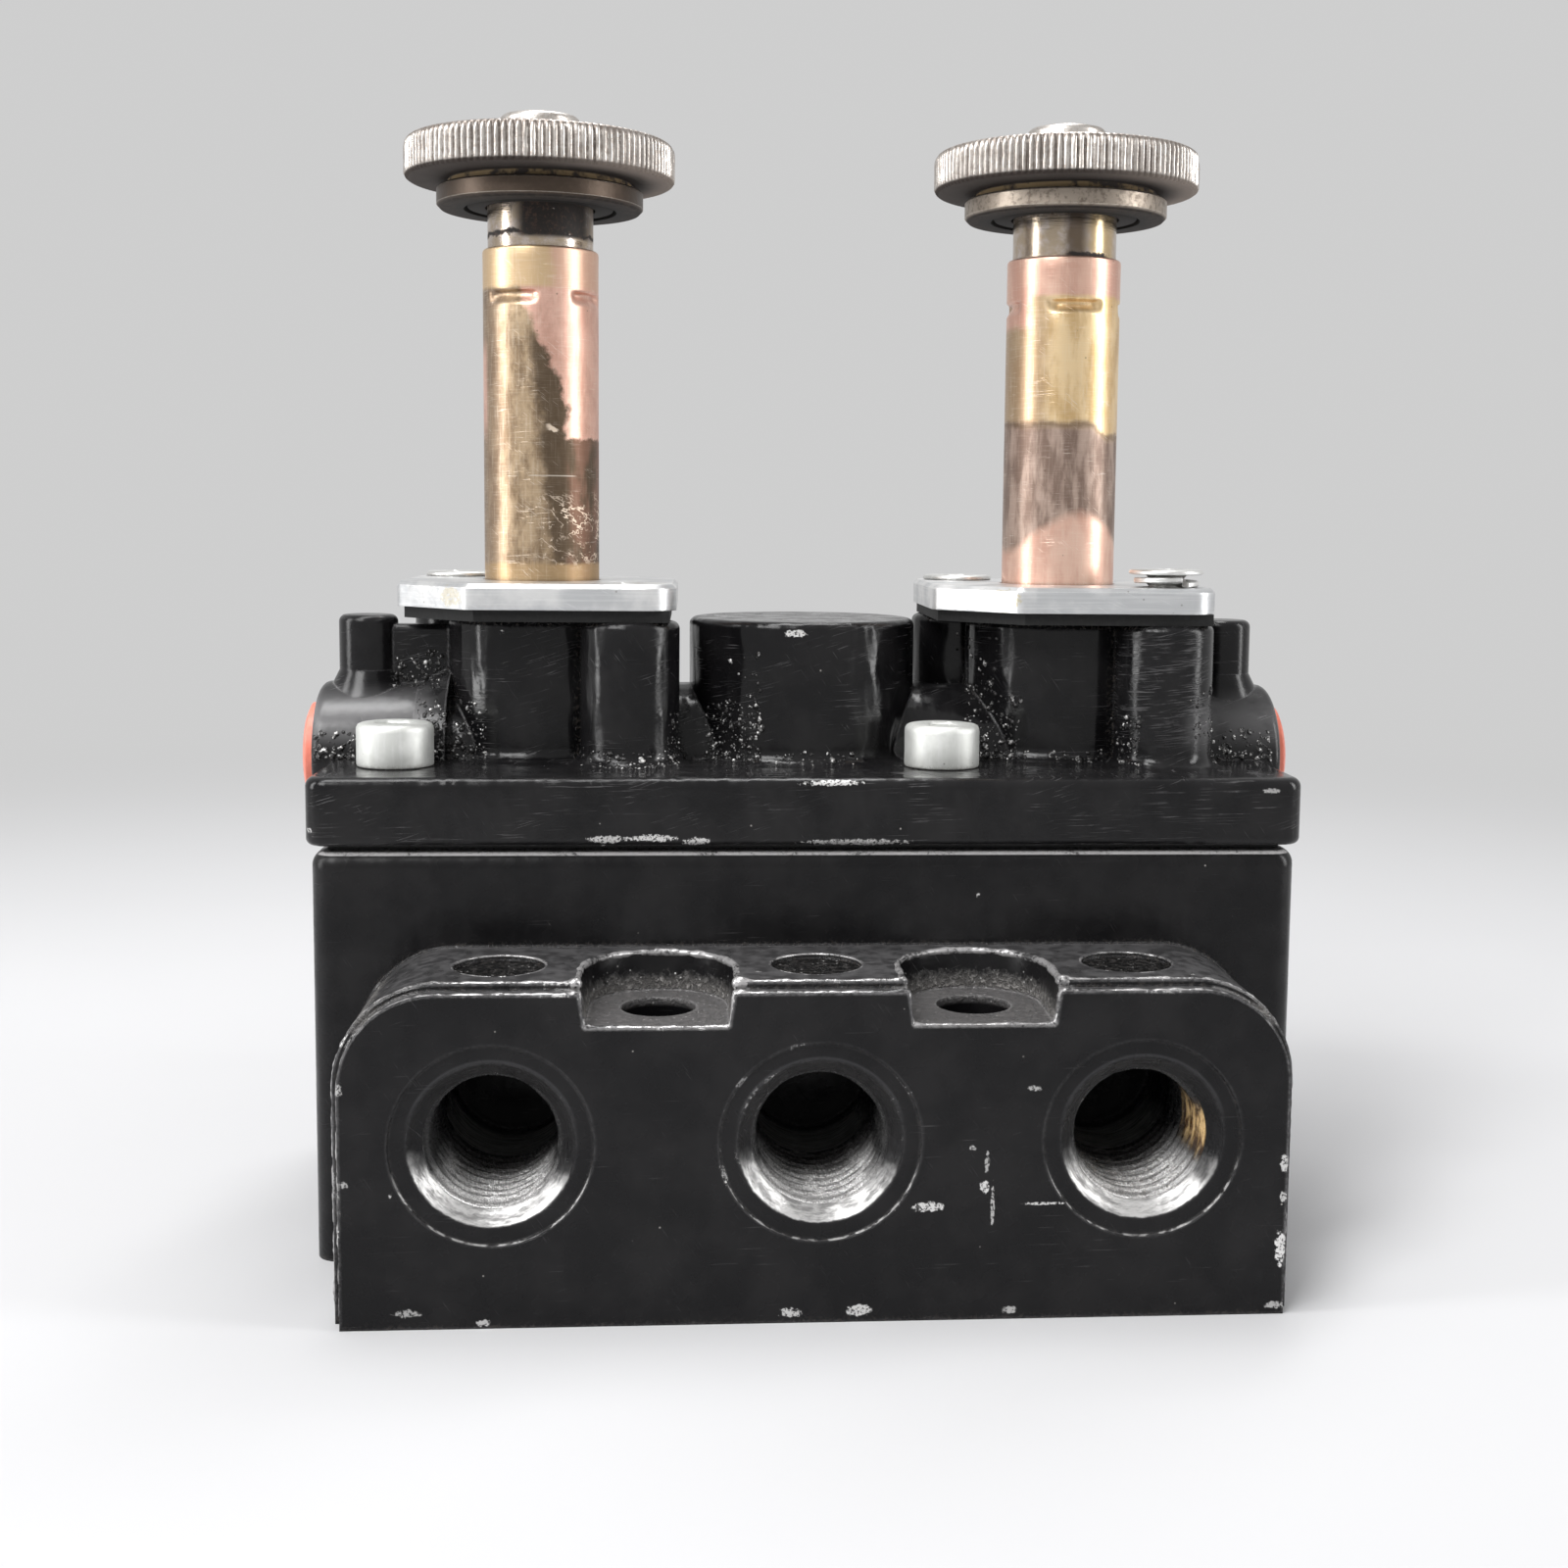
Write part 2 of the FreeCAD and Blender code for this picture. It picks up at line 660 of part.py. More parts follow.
def rounded_top(sketch, half, top, corner):
    """Draw a plate that stands on the floor and has its two top corners rounded."""
    h, t, r = size(half), size(top), size(corner)
    up = FreeCAD.Vector(0, 0, 1)
    arcs = []
    for side, first, last in ((1, 0, math.pi / 2), (-1, math.pi / 2, math.pi)):
        centre = FreeCAD.Vector(side * (h - r), t - r, 0)
        arcs.append(sketch.addGeometry(Part.ArcOfCircle(Part.Circle(centre, up, r), first, last)))
    right, left = arcs
    points = [(h, 0), (h, t - r), (h - r, t), (-h + r, t), (-h, t - r), (-h, 0)]
    points = [FreeCAD.Vector(x, y, 0) for x, y in points]
    right_side = sketch.addGeometry(Part.LineSegment(points[0], points[1]))
    top_side = sketch.addGeometry(Part.LineSegment(points[2], points[3]))
    left_side = sketch.addGeometry(Part.LineSegment(points[4], points[5]))
    bottom_side = sketch.addGeometry(Part.LineSegment(points[5], points[0]))
    for first, first_end, second, second_end in (
            (right_side, 2, right, 1), (right, 2, top_side, 1),
            (top_side, 2, left, 1), (left, 2, left_side, 1)):
        sketch.addConstraint(Sketcher.Constraint("Tangent", first, first_end, second, second_end))
    sketch.addConstraint(Sketcher.Constraint("Coincident", left_side, 2, bottom_side, 1))
    sketch.addConstraint(Sketcher.Constraint("Coincident", bottom_side, 2, right_side, 1))
    pin_point(sketch, right_side, 1, half, "0")
    pin_point(sketch, left_side, 2, f"-1 * ({half})", "0")
    pin_point(sketch, right, 3, f"{half} - ({corner})", f"{top} - ({corner})")
    pin_point(sketch, left, 3, f"-1 * ({half} - ({corner}))", f"{top} - ({corner})")


def rectangle(sketch, half_x, half_y):
    polygon(sketch, [(f"-1 * ({half_x})", f"-1 * ({half_y})"), (half_x, f"-1 * ({half_y})"),
                     (half_x, half_y), (f"-1 * ({half_x})", half_y)])


def hexagon(sketch, width):
    """Draw a hexagon of a given width across its flats about the sketch's origin."""
    corner = f"{width} / sqrt(3)"
    polygon(sketch, [(f"{corner} * cos({60 * k} deg)", f"{corner} * sin({60 * k} deg)") for k in range(6)])


def make_sub_base():
    body = new_body("sub_base")
    outline = new_sketch(body, "block_outline", "XY_Plane")
    rectangle(outline, "base_length / 2", "base_depth / 2")
    pad(body, "block", outline, "base_height")

    def at_corner(point):
        return near(abs(point.x), "base_length / 2") and near(abs(point.y), "base_depth / 2")

    round_edges(body, "block_corners", "base_corner_radius", at_corner)
    round_edges(body, "block_top_edge", "base_edge_radius", lambda point: near(point.z, "base_height"))
    ported_apron(body, "front", -1, FRONT_PORTS, FRONT_FEET)
    ported_apron(body, "rear", 1, REAR_PORTS, REAR_FEET)
    for number, (x, y) in enumerate(CAP_SCREW_SPOTS, start=1):
        cylinder(body, f"tapped_hole_{number}", "cap_screw_radius + thread_gap",
                 "cap_screw_length - flange_height - base_gasket_thickness + tapped_extra_depth",
                 x, y, "base_height", "-z", cut=True)
    return body


def make_base_gasket():
    body = new_body("base_gasket")
    outline = new_sketch(body, "sheet_outline", "XY_Plane", "base_height")
    rectangle(outline, "base_length / 2 - base_gasket_inset", "base_depth / 2 - base_gasket_inset")
    spots = [(f"{station} * station_pitch", "-1 * front_passage_offset") for station in FRONT_PORTS]
    spots += [(f"{station} * station_pitch", "rear_passage_offset") for station in REAR_PORTS]
    for x, y in spots:
        circle(outline, x, y, "passage_radius + gasket_hole_margin")
    for x, y in CAP_SCREW_SPOTS:
        circle(outline, x, y, "cap_screw_radius + screw_hole_gap")
    pad(body, "sheet", outline, "base_gasket_thickness")
    return body


def flared_boss(body, name, radius, x, y):
    """A round cast boss on the flange, with a rounded top edge and a flared foot."""
    foot = f"{radius} + root_flare + root_margin"
    low = "flange_top - flange_height / 2"
    revolve(body, name, [
        ("0", low), (foot, low), (foot, "flange_top"), (radius, "flange_top", "root_flare"),
        (radius, "boss_top", "boss_edge_radius"), ("0", "boss_top")], x=x, y=y)


def make_valve_body():
    body = new_body("valve_body")
    outline = new_sketch(body, "flange_outline", "XY_Plane", "flange_bottom")
    rectangle(outline, "flange_length / 2", "flange_depth / 2")
    pad(body, "flange", outline, "flange_height")

    def at_corner(point):
        return near(abs(point.x), "flange_length / 2") and near(abs(point.y), "flange_depth / 2")

    round_edges(body, "flange_corners", "flange_corner_radius", at_corner)
    round_edges(body, "flange_top_edge", "flange_edge_radius", lambda point: near(point.z, "flange_top"))
    round_edges(body, "flange_lower_edge", "flange_lower_edge_radius",
                lambda point: near(point.z, "flange_bottom"))
    flared_boss(body, "centre_boss", "centre_boss_radius", "0", "0")
    for side, sign in SIDES:
        x = f"{sign} * pilot_x"
        flared_boss(body, f"pilot_boss_{side}", "pilot_boss_radius", x, "0")
        for spot, direction in (("front", 1), ("rear", -1)):
            flared_boss(body, f"{spot}_screw_boss_{side}", "plate_screw_boss_radius",
                        f"{x} + {direction} * plate_screw_offset", f"{-direction} * plate_screw_offset")
    # Barrel along the spool bore, cut off level with the flange's underside
    end, taper = "barrel_end", "pilot_x + pilot_boss_radius - barrel_root_overlap"
    revolve(body, "barrel", [
        (f"-1 * {end}", "0"), (f"-1 * {end}", "barrel_radius", "barrel_edge_radius"),
        (f"-1 * ({taper} + barrel_root_length)", "barrel_radius"), (f"-1 * ({taper})", "barrel_root_radius"),
        (f"-1 * ({taper})", "barrel_radius"), (taper, "barrel_radius"), (taper, "barrel_root_radius"),
        (f"{taper} + barrel_root_length", "barrel_radius"), (end, "barrel_radius", "barrel_edge_radius"),
        (end, "0")], along_x=True, z="bore_axis")
    underside = new_sketch(body, "underside_outline", "XY_Plane", "flange_bottom")
    rectangle(underside, "2 * barrel_end", "flange_depth")
    pocket(body, "underside", underside, "barrel_root_radius")
    for side, sign in SIDES:
        post_x = f"{sign} * post_x"
        revolve(body, f"post_{side}", [
            ("0", "bore_axis"), ("post_radius", "bore_axis"), ("post_radius", "boss_top", "boss_edge_radius"),
            ("0", "boss_top")], x=post_x, y="0")
        cylinder(body, f"post_foot_{side}", "post_radius + post_flare", "post_flare_height", post_x, "0",
                 "bore_axis + barrel_radius - post_flare_height / 2", top_radius="post_radius")
        # The web that carries the pilot air from the post to the pilot head
        web = new_sketch(body, f"web_outline_{side}", "YZ_Plane", "pilot_x" if sign > 0 else "-1 * post_x")
        web_top = "boss_top - web_drop"
        polygon(web, [
            ("-1 * web_thickness / 2", "bore_axis"), ("web_thickness / 2", "bore_axis"),
            ("web_thickness / 2", web_top, "web_edge_radius"),
            ("-1 * web_thickness / 2", web_top, "web_edge_radius")])
        pad(body, f"web_{side}", web, "post_x - pilot_x")
    # Spool bore with its chambers and the galleries down to the sub-base
    cylinder(body, "bore", "bore_radius", "2 * barrel_end", "-1 * barrel_end", "0", "bore_axis", "x",
             cut=True)
    for side, sign in SIDES:
        cylinder(body, f"button_bore_{side}", "button_radius + button_gap", "barrel_recess",
                 f"{sign} * plug_outer", "0", "bore_axis", "x" if sign > 0 else "-x", cut=True)
    for number, station in enumerate(sorted(FRONT_PORTS + REAR_PORTS), start=1):
        cylinder(body, f"chamber_{number}", "chamber_radius", "2 * (passage_radius + chamber_margin)",
                 f"{station} * station_pitch - passage_radius - chamber_margin", "0", "bore_axis", "x",
                 cut=True)
    galleries = new_sketch(body, "gallery_outline", "XY_Plane", "flange_bottom")
    for station in FRONT_PORTS:
        obround(galleries, f"{station} * station_pitch", "-1 * front_passage_offset", "0", "passage_radius")
    for station in REAR_PORTS:
        circle(galleries, f"{station} * station_pitch", "rear_passage_offset", "passage_radius")
    pocket(body, "galleries", galleries, "flange_height - gallery_roof", reverse=True)
    for number, (x, y) in enumerate(CAP_SCREW_SPOTS, start=1):
        cylinder(body, f"screw_hole_{number}", "cap_screw_radius + screw_hole_gap", "flange_height", x, y,
                 "flange_bottom", cut=True)
    # Pilot heads
    for side, sign in SIDES:
        x = f"{sign} * pilot_x"
        cylinder(body, f"flange_recess_{side}", "flange_recess_radius", "flange_recess_depth", x, "0",
                 "boss_top", "-z", cut=True)
        cylinder(body, f"pilot_chamber_{side}", "pilot_chamber_radius", "pilot_chamber_depth", x, "0",
                 "recess_floor", "-z", cut=True)
        cylinder(body, f"orifice_hole_{side}", "orifice_thread_radius + thread_gap", "orifice_thread_length",
                 x, "0", "chamber_floor", "-z", cut=True)
        for spot, direction in (("front", 1), ("rear", -1)):
            cylinder(body, f"{spot}_plate_hole_{side}", "plate_screw_radius + thread_gap",
                     "plate_screw_length - plate_thickness - pilot_gasket_thickness + tapped_extra_depth",
                     f"{x} + {direction} * plate_screw_offset", f"{-direction} * plate_screw_offset",
                     "boss_top", "-z", cut=True)
    return body


def face_outward(body, sign):
    """Turn a body drawn for the right end so that it faces the end it belongs to."""
    if sign < 0:
        body.Placement.Rotation = FreeCAD.Rotation(FreeCAD.Vector(0, 0, 1), 180)


def socket_screw(label, shank, length, head, height, chamfer, socket_width, socket_depth):
    """A screw with a round head and a hexagon socket, its head's seat at height zero."""
    body = new_body(label)
    revolve(body, "screw", [
        ("0", f"-1 * {length}"), (f"{shank} - screw_tip_chamfer", f"-1 * {length}"),
        (shank, f"-1 * {length} + screw_tip_chamfer"), (shank, "0"), (head, "0"),
        (head, f"{height} - {chamfer}"), (f"{head} - {chamfer}", height), ("0", height)])
    sketch = new_sketch(body, "socket_outline", "XY_Plane", height)
    hexagon(sketch, socket_width)
    pocket(body, "socket", sketch, socket_depth)
    return body


def make_flange_cap_screws():
    master = socket_screw("cap_screw", "cap_screw_radius", "cap_screw_length", "cap_head_radius",
                          "cap_head_height", "cap_head_chamfer", "cap_socket_width", "cap_socket_depth")
    return copies("flange_cap_screws", master, [(x, y, "flange_top") for x, y in CAP_SCREW_SPOTS])


def make_spool():
    body = new_body("spool")
    land, core = "bore_radius - running_gap", "spool_core_radius"
    corners = [("-1 * spool_half_length", "0"), ("-1 * spool_half_length", core)]
    for spot in LANDS:
        for edge, inner in ((-1, False), (1, True)):
            x = f"{spot} + {edge} * land_width / 2"
            corners += [(x, land), (x, core)] if inner else [(x, core), (x, land)]
    corners += [("spool_half_length", core), ("spool_half_length", "0")]
    revolve(body, "shaft", corners, along_x=True)
    for number, spot in enumerate(LANDS, start=1):
        revolve(body, f"seal_groove_{number}", ring_groove(spot, "bore_radius"), along_x=True, cut=True)
    for side, sign in SIDES:
        cylinder(body, f"piston_socket_{side}", "piston_spigot_radius + thread_gap", "piston_spigot_length",
                 f"{sign} * spool_half_length", "0", "0", "-x" if sign > 0 else "x", cut=True)
    place(body, "-1 * spool_stroke / 2", "0", "bore_axis")
    return body


def ring_groove(spot, surface):
    """The outline of a seal groove cut into a round surface."""
    low, high = f"{spot} - seal_groove_width / 2", f"{spot} + seal_groove_width / 2"
    return [(low, f"{surface} - seal_groove_depth"), (high, f"{surface} - seal_groove_depth"),
            (high, f"{surface} + cutter_margin"), (low, f"{surface} + cutter_margin")]


def bore_ring(label, x):
    """A seal ring that lies in a groove and reaches the wall of the spool bore."""
    minor = "(seal_groove_depth - 2 * seal_gap) / 2"
    return ring(label, f"bore_radius - seal_gap - ({minor})", minor, x, "0", "bore_axis", along_x=True)


def make_spool_seals():
    rings = [bore_ring(f"spool_ring_{number}", f"{spot} - spool_stroke / 2")
             for number, spot in enumerate(LANDS, start=1)]
    return group("spool_seals", rings)


def make_pilot_piston(side, sign):
    """A piston screwed into the end of the spool."""
    body = new_body(f"pilot_piston_{side}")
    face = "bore_radius - running_gap"
    tip = "spool_half_length - piston_spigot_length + piston_spigot_gap"
    revolve(body, "piston", [
        (tip, "0"), (tip, "piston_spigot_radius"),
        ("spool_half_length", "piston_spigot_radius"), ("spool_half_length", face), ("piston_end", face),
        ("piston_end", "0")], along_x=True)
    revolve(body, "seal_groove", ring_groove("spool_half_length + piston_length / 2", "bore_radius"),
            along_x=True, cut=True)
    face_outward(body, sign)
    place(body, "-1 * spool_stroke / 2", "0", "bore_axis")
    return body


def make_piston_seals():
    middle = "(spool_half_length + piston_length / 2)"
    rings = [bore_ring(f"piston_ring_{side}", f"{sign} * {middle} - spool_stroke / 2")
             for side, sign in SIDES]
    return group("piston_seals", rings)


def make_end_plug(side, sign):
    """The plug that closes the spool bore and guides the override button."""
    body = new_body(f"end_plug_{side}")
    wall, guide = "bore_radius - thread_gap", "stem_radius + running_gap"
    revolve(body, "plug", [
        ("plug_inner", "plug_pocket_radius"), ("plug_inner", wall), ("plug_outer", wall),
        ("plug_outer", guide), ("clip_seat", guide), ("clip_seat", "plug_pocket_radius")], along_x=True)
    revolve(body, "seal_groove", ring_groove("stem_ring", "bore_radius"), along_x=True,
            cut=True)
    face_outward(body, sign)
    place(body, z="bore_axis")
    return body


def make_end_plug_seals():
    rings = [bore_ring(f"plug_ring_{side}", f"{sign} * stem_ring") for side, sign in SIDES]
    return group("end_plug_seals", rings)


def make_override_button(side, sign):
    """The domed push button in the end of the barrel, with its stem."""
    body = new_body(f"override_button_{side}")
    groove_in, groove_out = "clip_seat - clip_thickness - stop_gap", "clip_seat - stop_gap"
    neck = "stem_radius - clip_groove_depth"
    dome = [(f"button_face - button_dome * {drop}", f"button_radius * {out}") for out, drop in DOME_STEPS]
    revolve(body, "button", [
        ("stem_end", "0"), ("stem_end", "stem_radius"), (groove_in, "stem_radius"), (groove_in, neck),
        (groove_out, neck), (groove_out, "stem_radius"), ("button_back", "stem_radius"),
        ("button_back", "button_pocket_inner_radius"),
        ("button_back + button_pocket_depth", "button_pocket_inner_radius"),
        ("button_back + button_pocket_depth", "button_pocket_radius"),
        ("button_back", "button_pocket_radius"), ("button_back", "button_radius"),
        ("button_face - button_dome", "button_radius"), *dome, ("button_face", "0")], along_x=True)
    low, high = "stem_ring - stem_groove_width / 2", "stem_ring + stem_groove_width / 2"
    floor, rim = "stem_radius - stem_groove_depth", "stem_radius + cutter_margin"
    revolve(body, "seal_groove", [(low, floor), (high, floor), (high, rim), (low, rim)], along_x=True,
            cut=True)
    face_outward(body, sign)
    place(body, z="bore_axis")
    return body


def make_override_seal(side, sign):
    return ring(f"override_seal_{side}", "stem_radius - stem_seal_section", "stem_seal_section",
                f"{sign} * stem_ring", "0", "bore_axis", along_x=True)


def make_override_clip(side, sign):
    """The retaining ring at the inner end of the button's stem."""
    body = new_body(f"override_clip_{side}")
    inner = "stem_radius - clip_groove_depth + seal_gap"
    start, end = "clip_seat - clip_thickness - stop_gap + seal_gap", "clip_seat - stop_gap - seal_gap"
    revolve(body, "clip", [(start, inner), (start, "clip_radius"), (end, "clip_radius"), (end, inner)],
            along_x=True)
    face_outward(body, sign)
    place(body, z="bore_axis")
    return body


def make_override_spring(side, sign):
    radius = "(button_pocket_inner_radius + button_pocket_radius) / 2"
    item = coil(f"override_spring_{side}", radius, "button_spring_wire", "button_spring_turns",
                "plug_outer + seal_gap", "button_back + button_pocket_depth - seal_gap", along_x=True,
                flip=sign)
    item.Placement.Base = FreeCAD.Vector(0, 0, size("bore_axis"))
    return item


def plate_outline(sketch, inset):
    """A square with two opposite corners cut off at 45 degrees."""
    half = f"(plate_half_width - {inset})"
    cut = f"(plate_half_width - {inset} - plate_cut)"
    polygon(sketch, [(f"-1 * {cut}", f"-1 * {half}"), (half, f"-1 * {half}"), (half, cut), (cut, half),
                     (f"-1 * {half}", half), (f"-1 * {half}", f"-1 * {cut}")])


def make_clamp_plate(side, sign):
    """The plate that holds the tube's flange down on the casting."""
    body = new_body(f"clamp_plate_{side}")
    outline = new_sketch(body, "plate_outline", "XY_Plane", "plate_bottom")
    plate_outline(outline, "0")
    pad(body, "plate", outline, "plate_thickness")

    def square_corner(point):
        return near(abs(point.x), "plate_half_width") and near(abs(point.y), "plate_half_width")

    def cut_corner(point):
        inner, outer = sorted((abs(point.x), abs(point.y)))
        return near(inner, "plate_half_width - plate_cut") and near(outer, "plate_half_width")

    round_edges(body, "square_corners", "plate_corner_radius", square_corner)
    round_edges(body, "cut_corners", "plate_cut_radius", cut_corner)
    round_edges(body, "bevel", "plate_bevel", lambda point: near(point.z, "plate_top"), chamfer=True)
    cylinder(body, "tube_hole", "tube_radius + plate_tube_gap", "plate_thickness", z="plate_bottom", cut=True)
    for spot, direction in (("front", 1), ("rear", -1)):
        x, y = f"{direction} * plate_screw_offset", f"{-direction} * plate_screw_offset"
        cylinder(body, f"{spot}_hole", "plate_screw_radius + screw_hole_gap", "plate_thickness", x, y,
                 "plate_bottom", cut=True)
        if sign < 0 and spot == "front":
            cylinder(body, "countersink", "flat_head_radius + thread_gap", "flat_head_depth", x, y,
                     "plate_top", "-z", cut=True, top_radius="plate_screw_radius + thread_gap")
    place(body, f"{sign} * pilot_x")
    return body


def make_pilot_gasket(side, sign):
    body = new_body(f"pilot_gasket_{side}")
    outline = new_sketch(body, "sheet_outline", "XY_Plane", "boss_top")
    plate_outline(outline, "pilot_gasket_inset")
    circle(outline, "0", "0", "tube_flange_radius + tube_flange_clearance")
    for direction in (1, -1):
        circle(outline, f"{direction} * plate_screw_offset", f"{-direction} * plate_screw_offset",
               "plate_screw_radius + screw_hole_gap")
    pad(body, "sheet", outline, "pilot_gasket_thickness")
    place(body, f"{sign} * pilot_x")
    return body


def make_clamp_plate_screws():
    """Three cheese-head screws; the front one on the right stands a little out of its hole."""
    master = socket_screw("plate_screw", "plate_screw_radius", "plate_screw_length", "plate_head_radius",
                          "plate_head_height", "plate_head_chamfer", "plate_socket_width",
                          "plate_socket_depth")
    return copies("clamp_plate_screws", master, [
        ("-1 * pilot_x - plate_screw_offset", "plate_screw_offset", "plate_top"),
        ("pilot_x - plate_screw_offset", "plate_screw_offset", "plate_top"),
        ("pilot_x + plate_screw_offset", "-1 * plate_screw_offset", "plate_top + loose_screw_lift")])


def make_flat_plate_screw():
    body = new_body("flat_plate_screw")
    revolve(body, "screw", [
        ("0", "-1 * plate_screw_length"),
        ("plate_screw_radius - screw_tip_chamfer", "-1 * plate_screw_length"),
        ("plate_screw_radius", "-1 * plate_screw_length + screw_tip_chamfer"),
        ("plate_screw_radius", "-1 * flat_head_depth"), ("flat_head_radius", "0"), ("0", "0")])
    sketch = new_sketch(body, "socket_outline", "XY_Plane")
    hexagon(sketch, "plate_socket_width")
    pocket(body, "socket", sketch, "flat_socket_depth")
    place(body, "-1 * pilot_x + plate_screw_offset", "-1 * plate_screw_offset", "plate_top")
    return body


def make_armature_tube(side, sign):
    """The flanged brass tube, staked into the fixed core's groove in four places."""
    body = new_body(f"armature_tube_{side}")
    revolve(body, "tube", [
        ("tube_bore", "tube_bottom"), ("tube_flange_radius", "tube_bottom"),
        ("tube_flange_radius", "plate_bottom"),
        ("tube_radius", "plate_bottom"), ("tube_radius", "tube_top - tube_edge"),
        ("tube_radius - tube_edge", "tube_top"),
        ("tube_bore", "tube_top")])
    low, high = "crimp_middle - crimp_height / 2", "crimp_middle + crimp_height / 2"
    bump = "tube_bore - core_groove_depth + core_gap * 2"
    inner = revolve(body, "crimp_bump", [
        (bump, f"{low} + crimp_slope"), ("tube_bore + crimp_overlap", low),
        ("tube_bore + crimp_overlap", high), (bump, f"{high} - crimp_slope")], angle="crimp_angle")
    polar(body, "crimp_bumps", inner, "4")
    dent = revolve(body, "crimp_dent", [
        ("tube_radius - crimp_depth", f"{low} + crimp_slope"), ("tube_radius + crimp_overlap", low),
        ("tube_radius + crimp_overlap", high), ("tube_radius - crimp_depth", f"{high} - crimp_slope")],
        cut=True, angle="crimp_angle")
    polar(body, "crimp_dents", dent, "4")
    body.Placement.Rotation = FreeCAD.Rotation(FreeCAD.Vector(0, 0, 1), TUBE_TURN[side])
    place(body, f"{sign} * pilot_x")
    return body


def make_tube_seal(side, sign):
    middle = "(pilot_chamber_radius + flange_recess_radius) / 2 - tube_seal_inset"
    return ring(f"tube_seal_{side}", middle, "tube_seal_section", f"{sign} * pilot_x", "0",
                "recess_floor + tube_seal_section + seal_gap")


def make_fixed_core(side, sign):
    """The steel core in the top of the tube, with its neck and threaded stud."""
    body = new_body(f"fixed_core_{side}")
    shaft, end = "core_shaft_radius", "neck_top + stud_length"
    low, high = "crimp_middle - crimp_height / 2", "crimp_middle + crimp_height / 2"
    neck = f"{shaft} - core_groove_depth"
    revolve(body, "core", [
        ("0", "core_bottom"), (shaft, "core_bottom"), (shaft, f"{low} - core_groove_margin"),
        (neck, f"{low} + core_groove_slope"), (neck, f"{high} - core_groove_slope"),
        (shaft, f"{high} + core_groove_margin"), (shaft, "neck_top - neck_chamfer"),
        (f"{shaft} - neck_chamfer", "neck_top"), ("stud_radius", "neck_top"),
        ("stud_radius", f"{end} - stud_chamfer"), ("stud_radius - stud_chamfer", end), ("0", end)])
    ring_in, ring_out = "shading_ring_inner_radius", "shading_ring_inner_radius + shading_ring_width"
    mouth, floor = "core_bottom - cutter_margin", "core_bottom + shading_ring_depth + seal_gap"
    revolve(body, "ring_groove", [
        (f"{ring_in} - seal_gap", mouth), (f"{ring_out} + seal_gap", mouth),
        (f"{ring_out} + seal_gap", floor), (f"{ring_in} - seal_gap", floor)], cut=True)
    place(body, f"{sign} * pilot_x")
    return body


def make_shading_ring(side, sign):
    body = new_body(f"shading_ring_{side}")
    inner, outer = "shading_ring_inner_radius", "shading_ring_inner_radius + shading_ring_width"
    top = "core_bottom + shading_ring_depth"
    revolve(body, "band", [(inner, "core_bottom"), (outer, "core_bottom"), (outer, top), (inner, top)])
    place(body, f"{sign} * pilot_x")
    return body


def make_armature(side, sign):
    """The moving plunger, with a pocket for its spring, a pocket for its pad and two air slots."""
    body = new_body(f"armature_{side}")
    pad_top = "pad_face + pad_thickness"
    pocket_floor = "armature_top - spring_pocket_depth"
    revolve(body, "plunger", [
        ("pad_radius + seal_gap", "armature_bottom"),
        ("armature_radius - armature_chamfer", "armature_bottom"),
        ("armature_radius", "armature_bottom + armature_chamfer"),
        ("armature_radius", "armature_top - armature_chamfer"),
        ("armature_radius - armature_chamfer", "armature_top"), ("spring_pocket_radius", "armature_top"),
        ("spring_pocket_radius", pocket_floor), ("0", pocket_floor),
        ("0", f"{pad_top} + seal_gap"), ("pad_radius + seal_gap", f"{pad_top} + seal_gap")])
    slots = new_sketch(body, "slot_outline", "XY_Plane", "armature_bottom")
    outer, inner = "armature_radius + cutter_margin", "armature_radius - armature_slot_depth"
    half = "armature_slot_width / 2"
    for flip in ("-1 * ", ""):
        polygon(slots, [(f"{flip}({inner})", f"-1 * {half}"), (f"{flip}({outer})", f"-1 * {half}"),
                        (f"{flip}({outer})", half), (f"{flip}({inner})", half)])
    pocket(body, "slots", slots, "armature_length", reverse=True)
    place(body, f"{sign} * pilot_x")
    return body


def make_armature_pad(side, sign):
    item = doc.addObject("Part::Cylinder", f"armature_pad_{side}")
    item.Label = f"armature_pad_{side}"
    bind(item, Radius="pad_radius", Height="pad_thickness")
    place(item, f"{sign} * pilot_x", "0", "pad_face")
    return item


def make_armature_spring(side, sign):
    item = coil(f"armature_spring_{side}", "armature_spring_radius", "armature_spring_wire",
                "armature_spring_turns", "armature_top - spring_pocket_depth + seal_gap",
                "core_bottom - seal_gap")
    item.Placement.Base = FreeCAD.Vector(sign * size("pilot_x"), 0, 0)
    return item


def make_orifice_seat(side, sign):
    """The screwed-in nozzle that the armature's pad closes."""
    body = new_body(f"orifice_seat_{side}")
    tip = "chamber_floor - orifice_thread_length + stop_gap"
    revolve(body, "seat", [
        ("orifice_radius", tip), ("orifice_thread_radius", tip),
        ("orifice_thread_radius", "chamber_floor"), ("orifice_head_radius", "chamber_floor"),
        ("orifice_head_radius", "chamber_floor + orifice_head_height"),
        ("nozzle_tip_radius + nozzle_height", "chamber_floor + orifice_head_height"),
        ("nozzle_tip_radius", "nozzle_top"), ("orifice_radius", "nozzle_top")])
    place(body, f"{sign} * pilot_x")
    return body


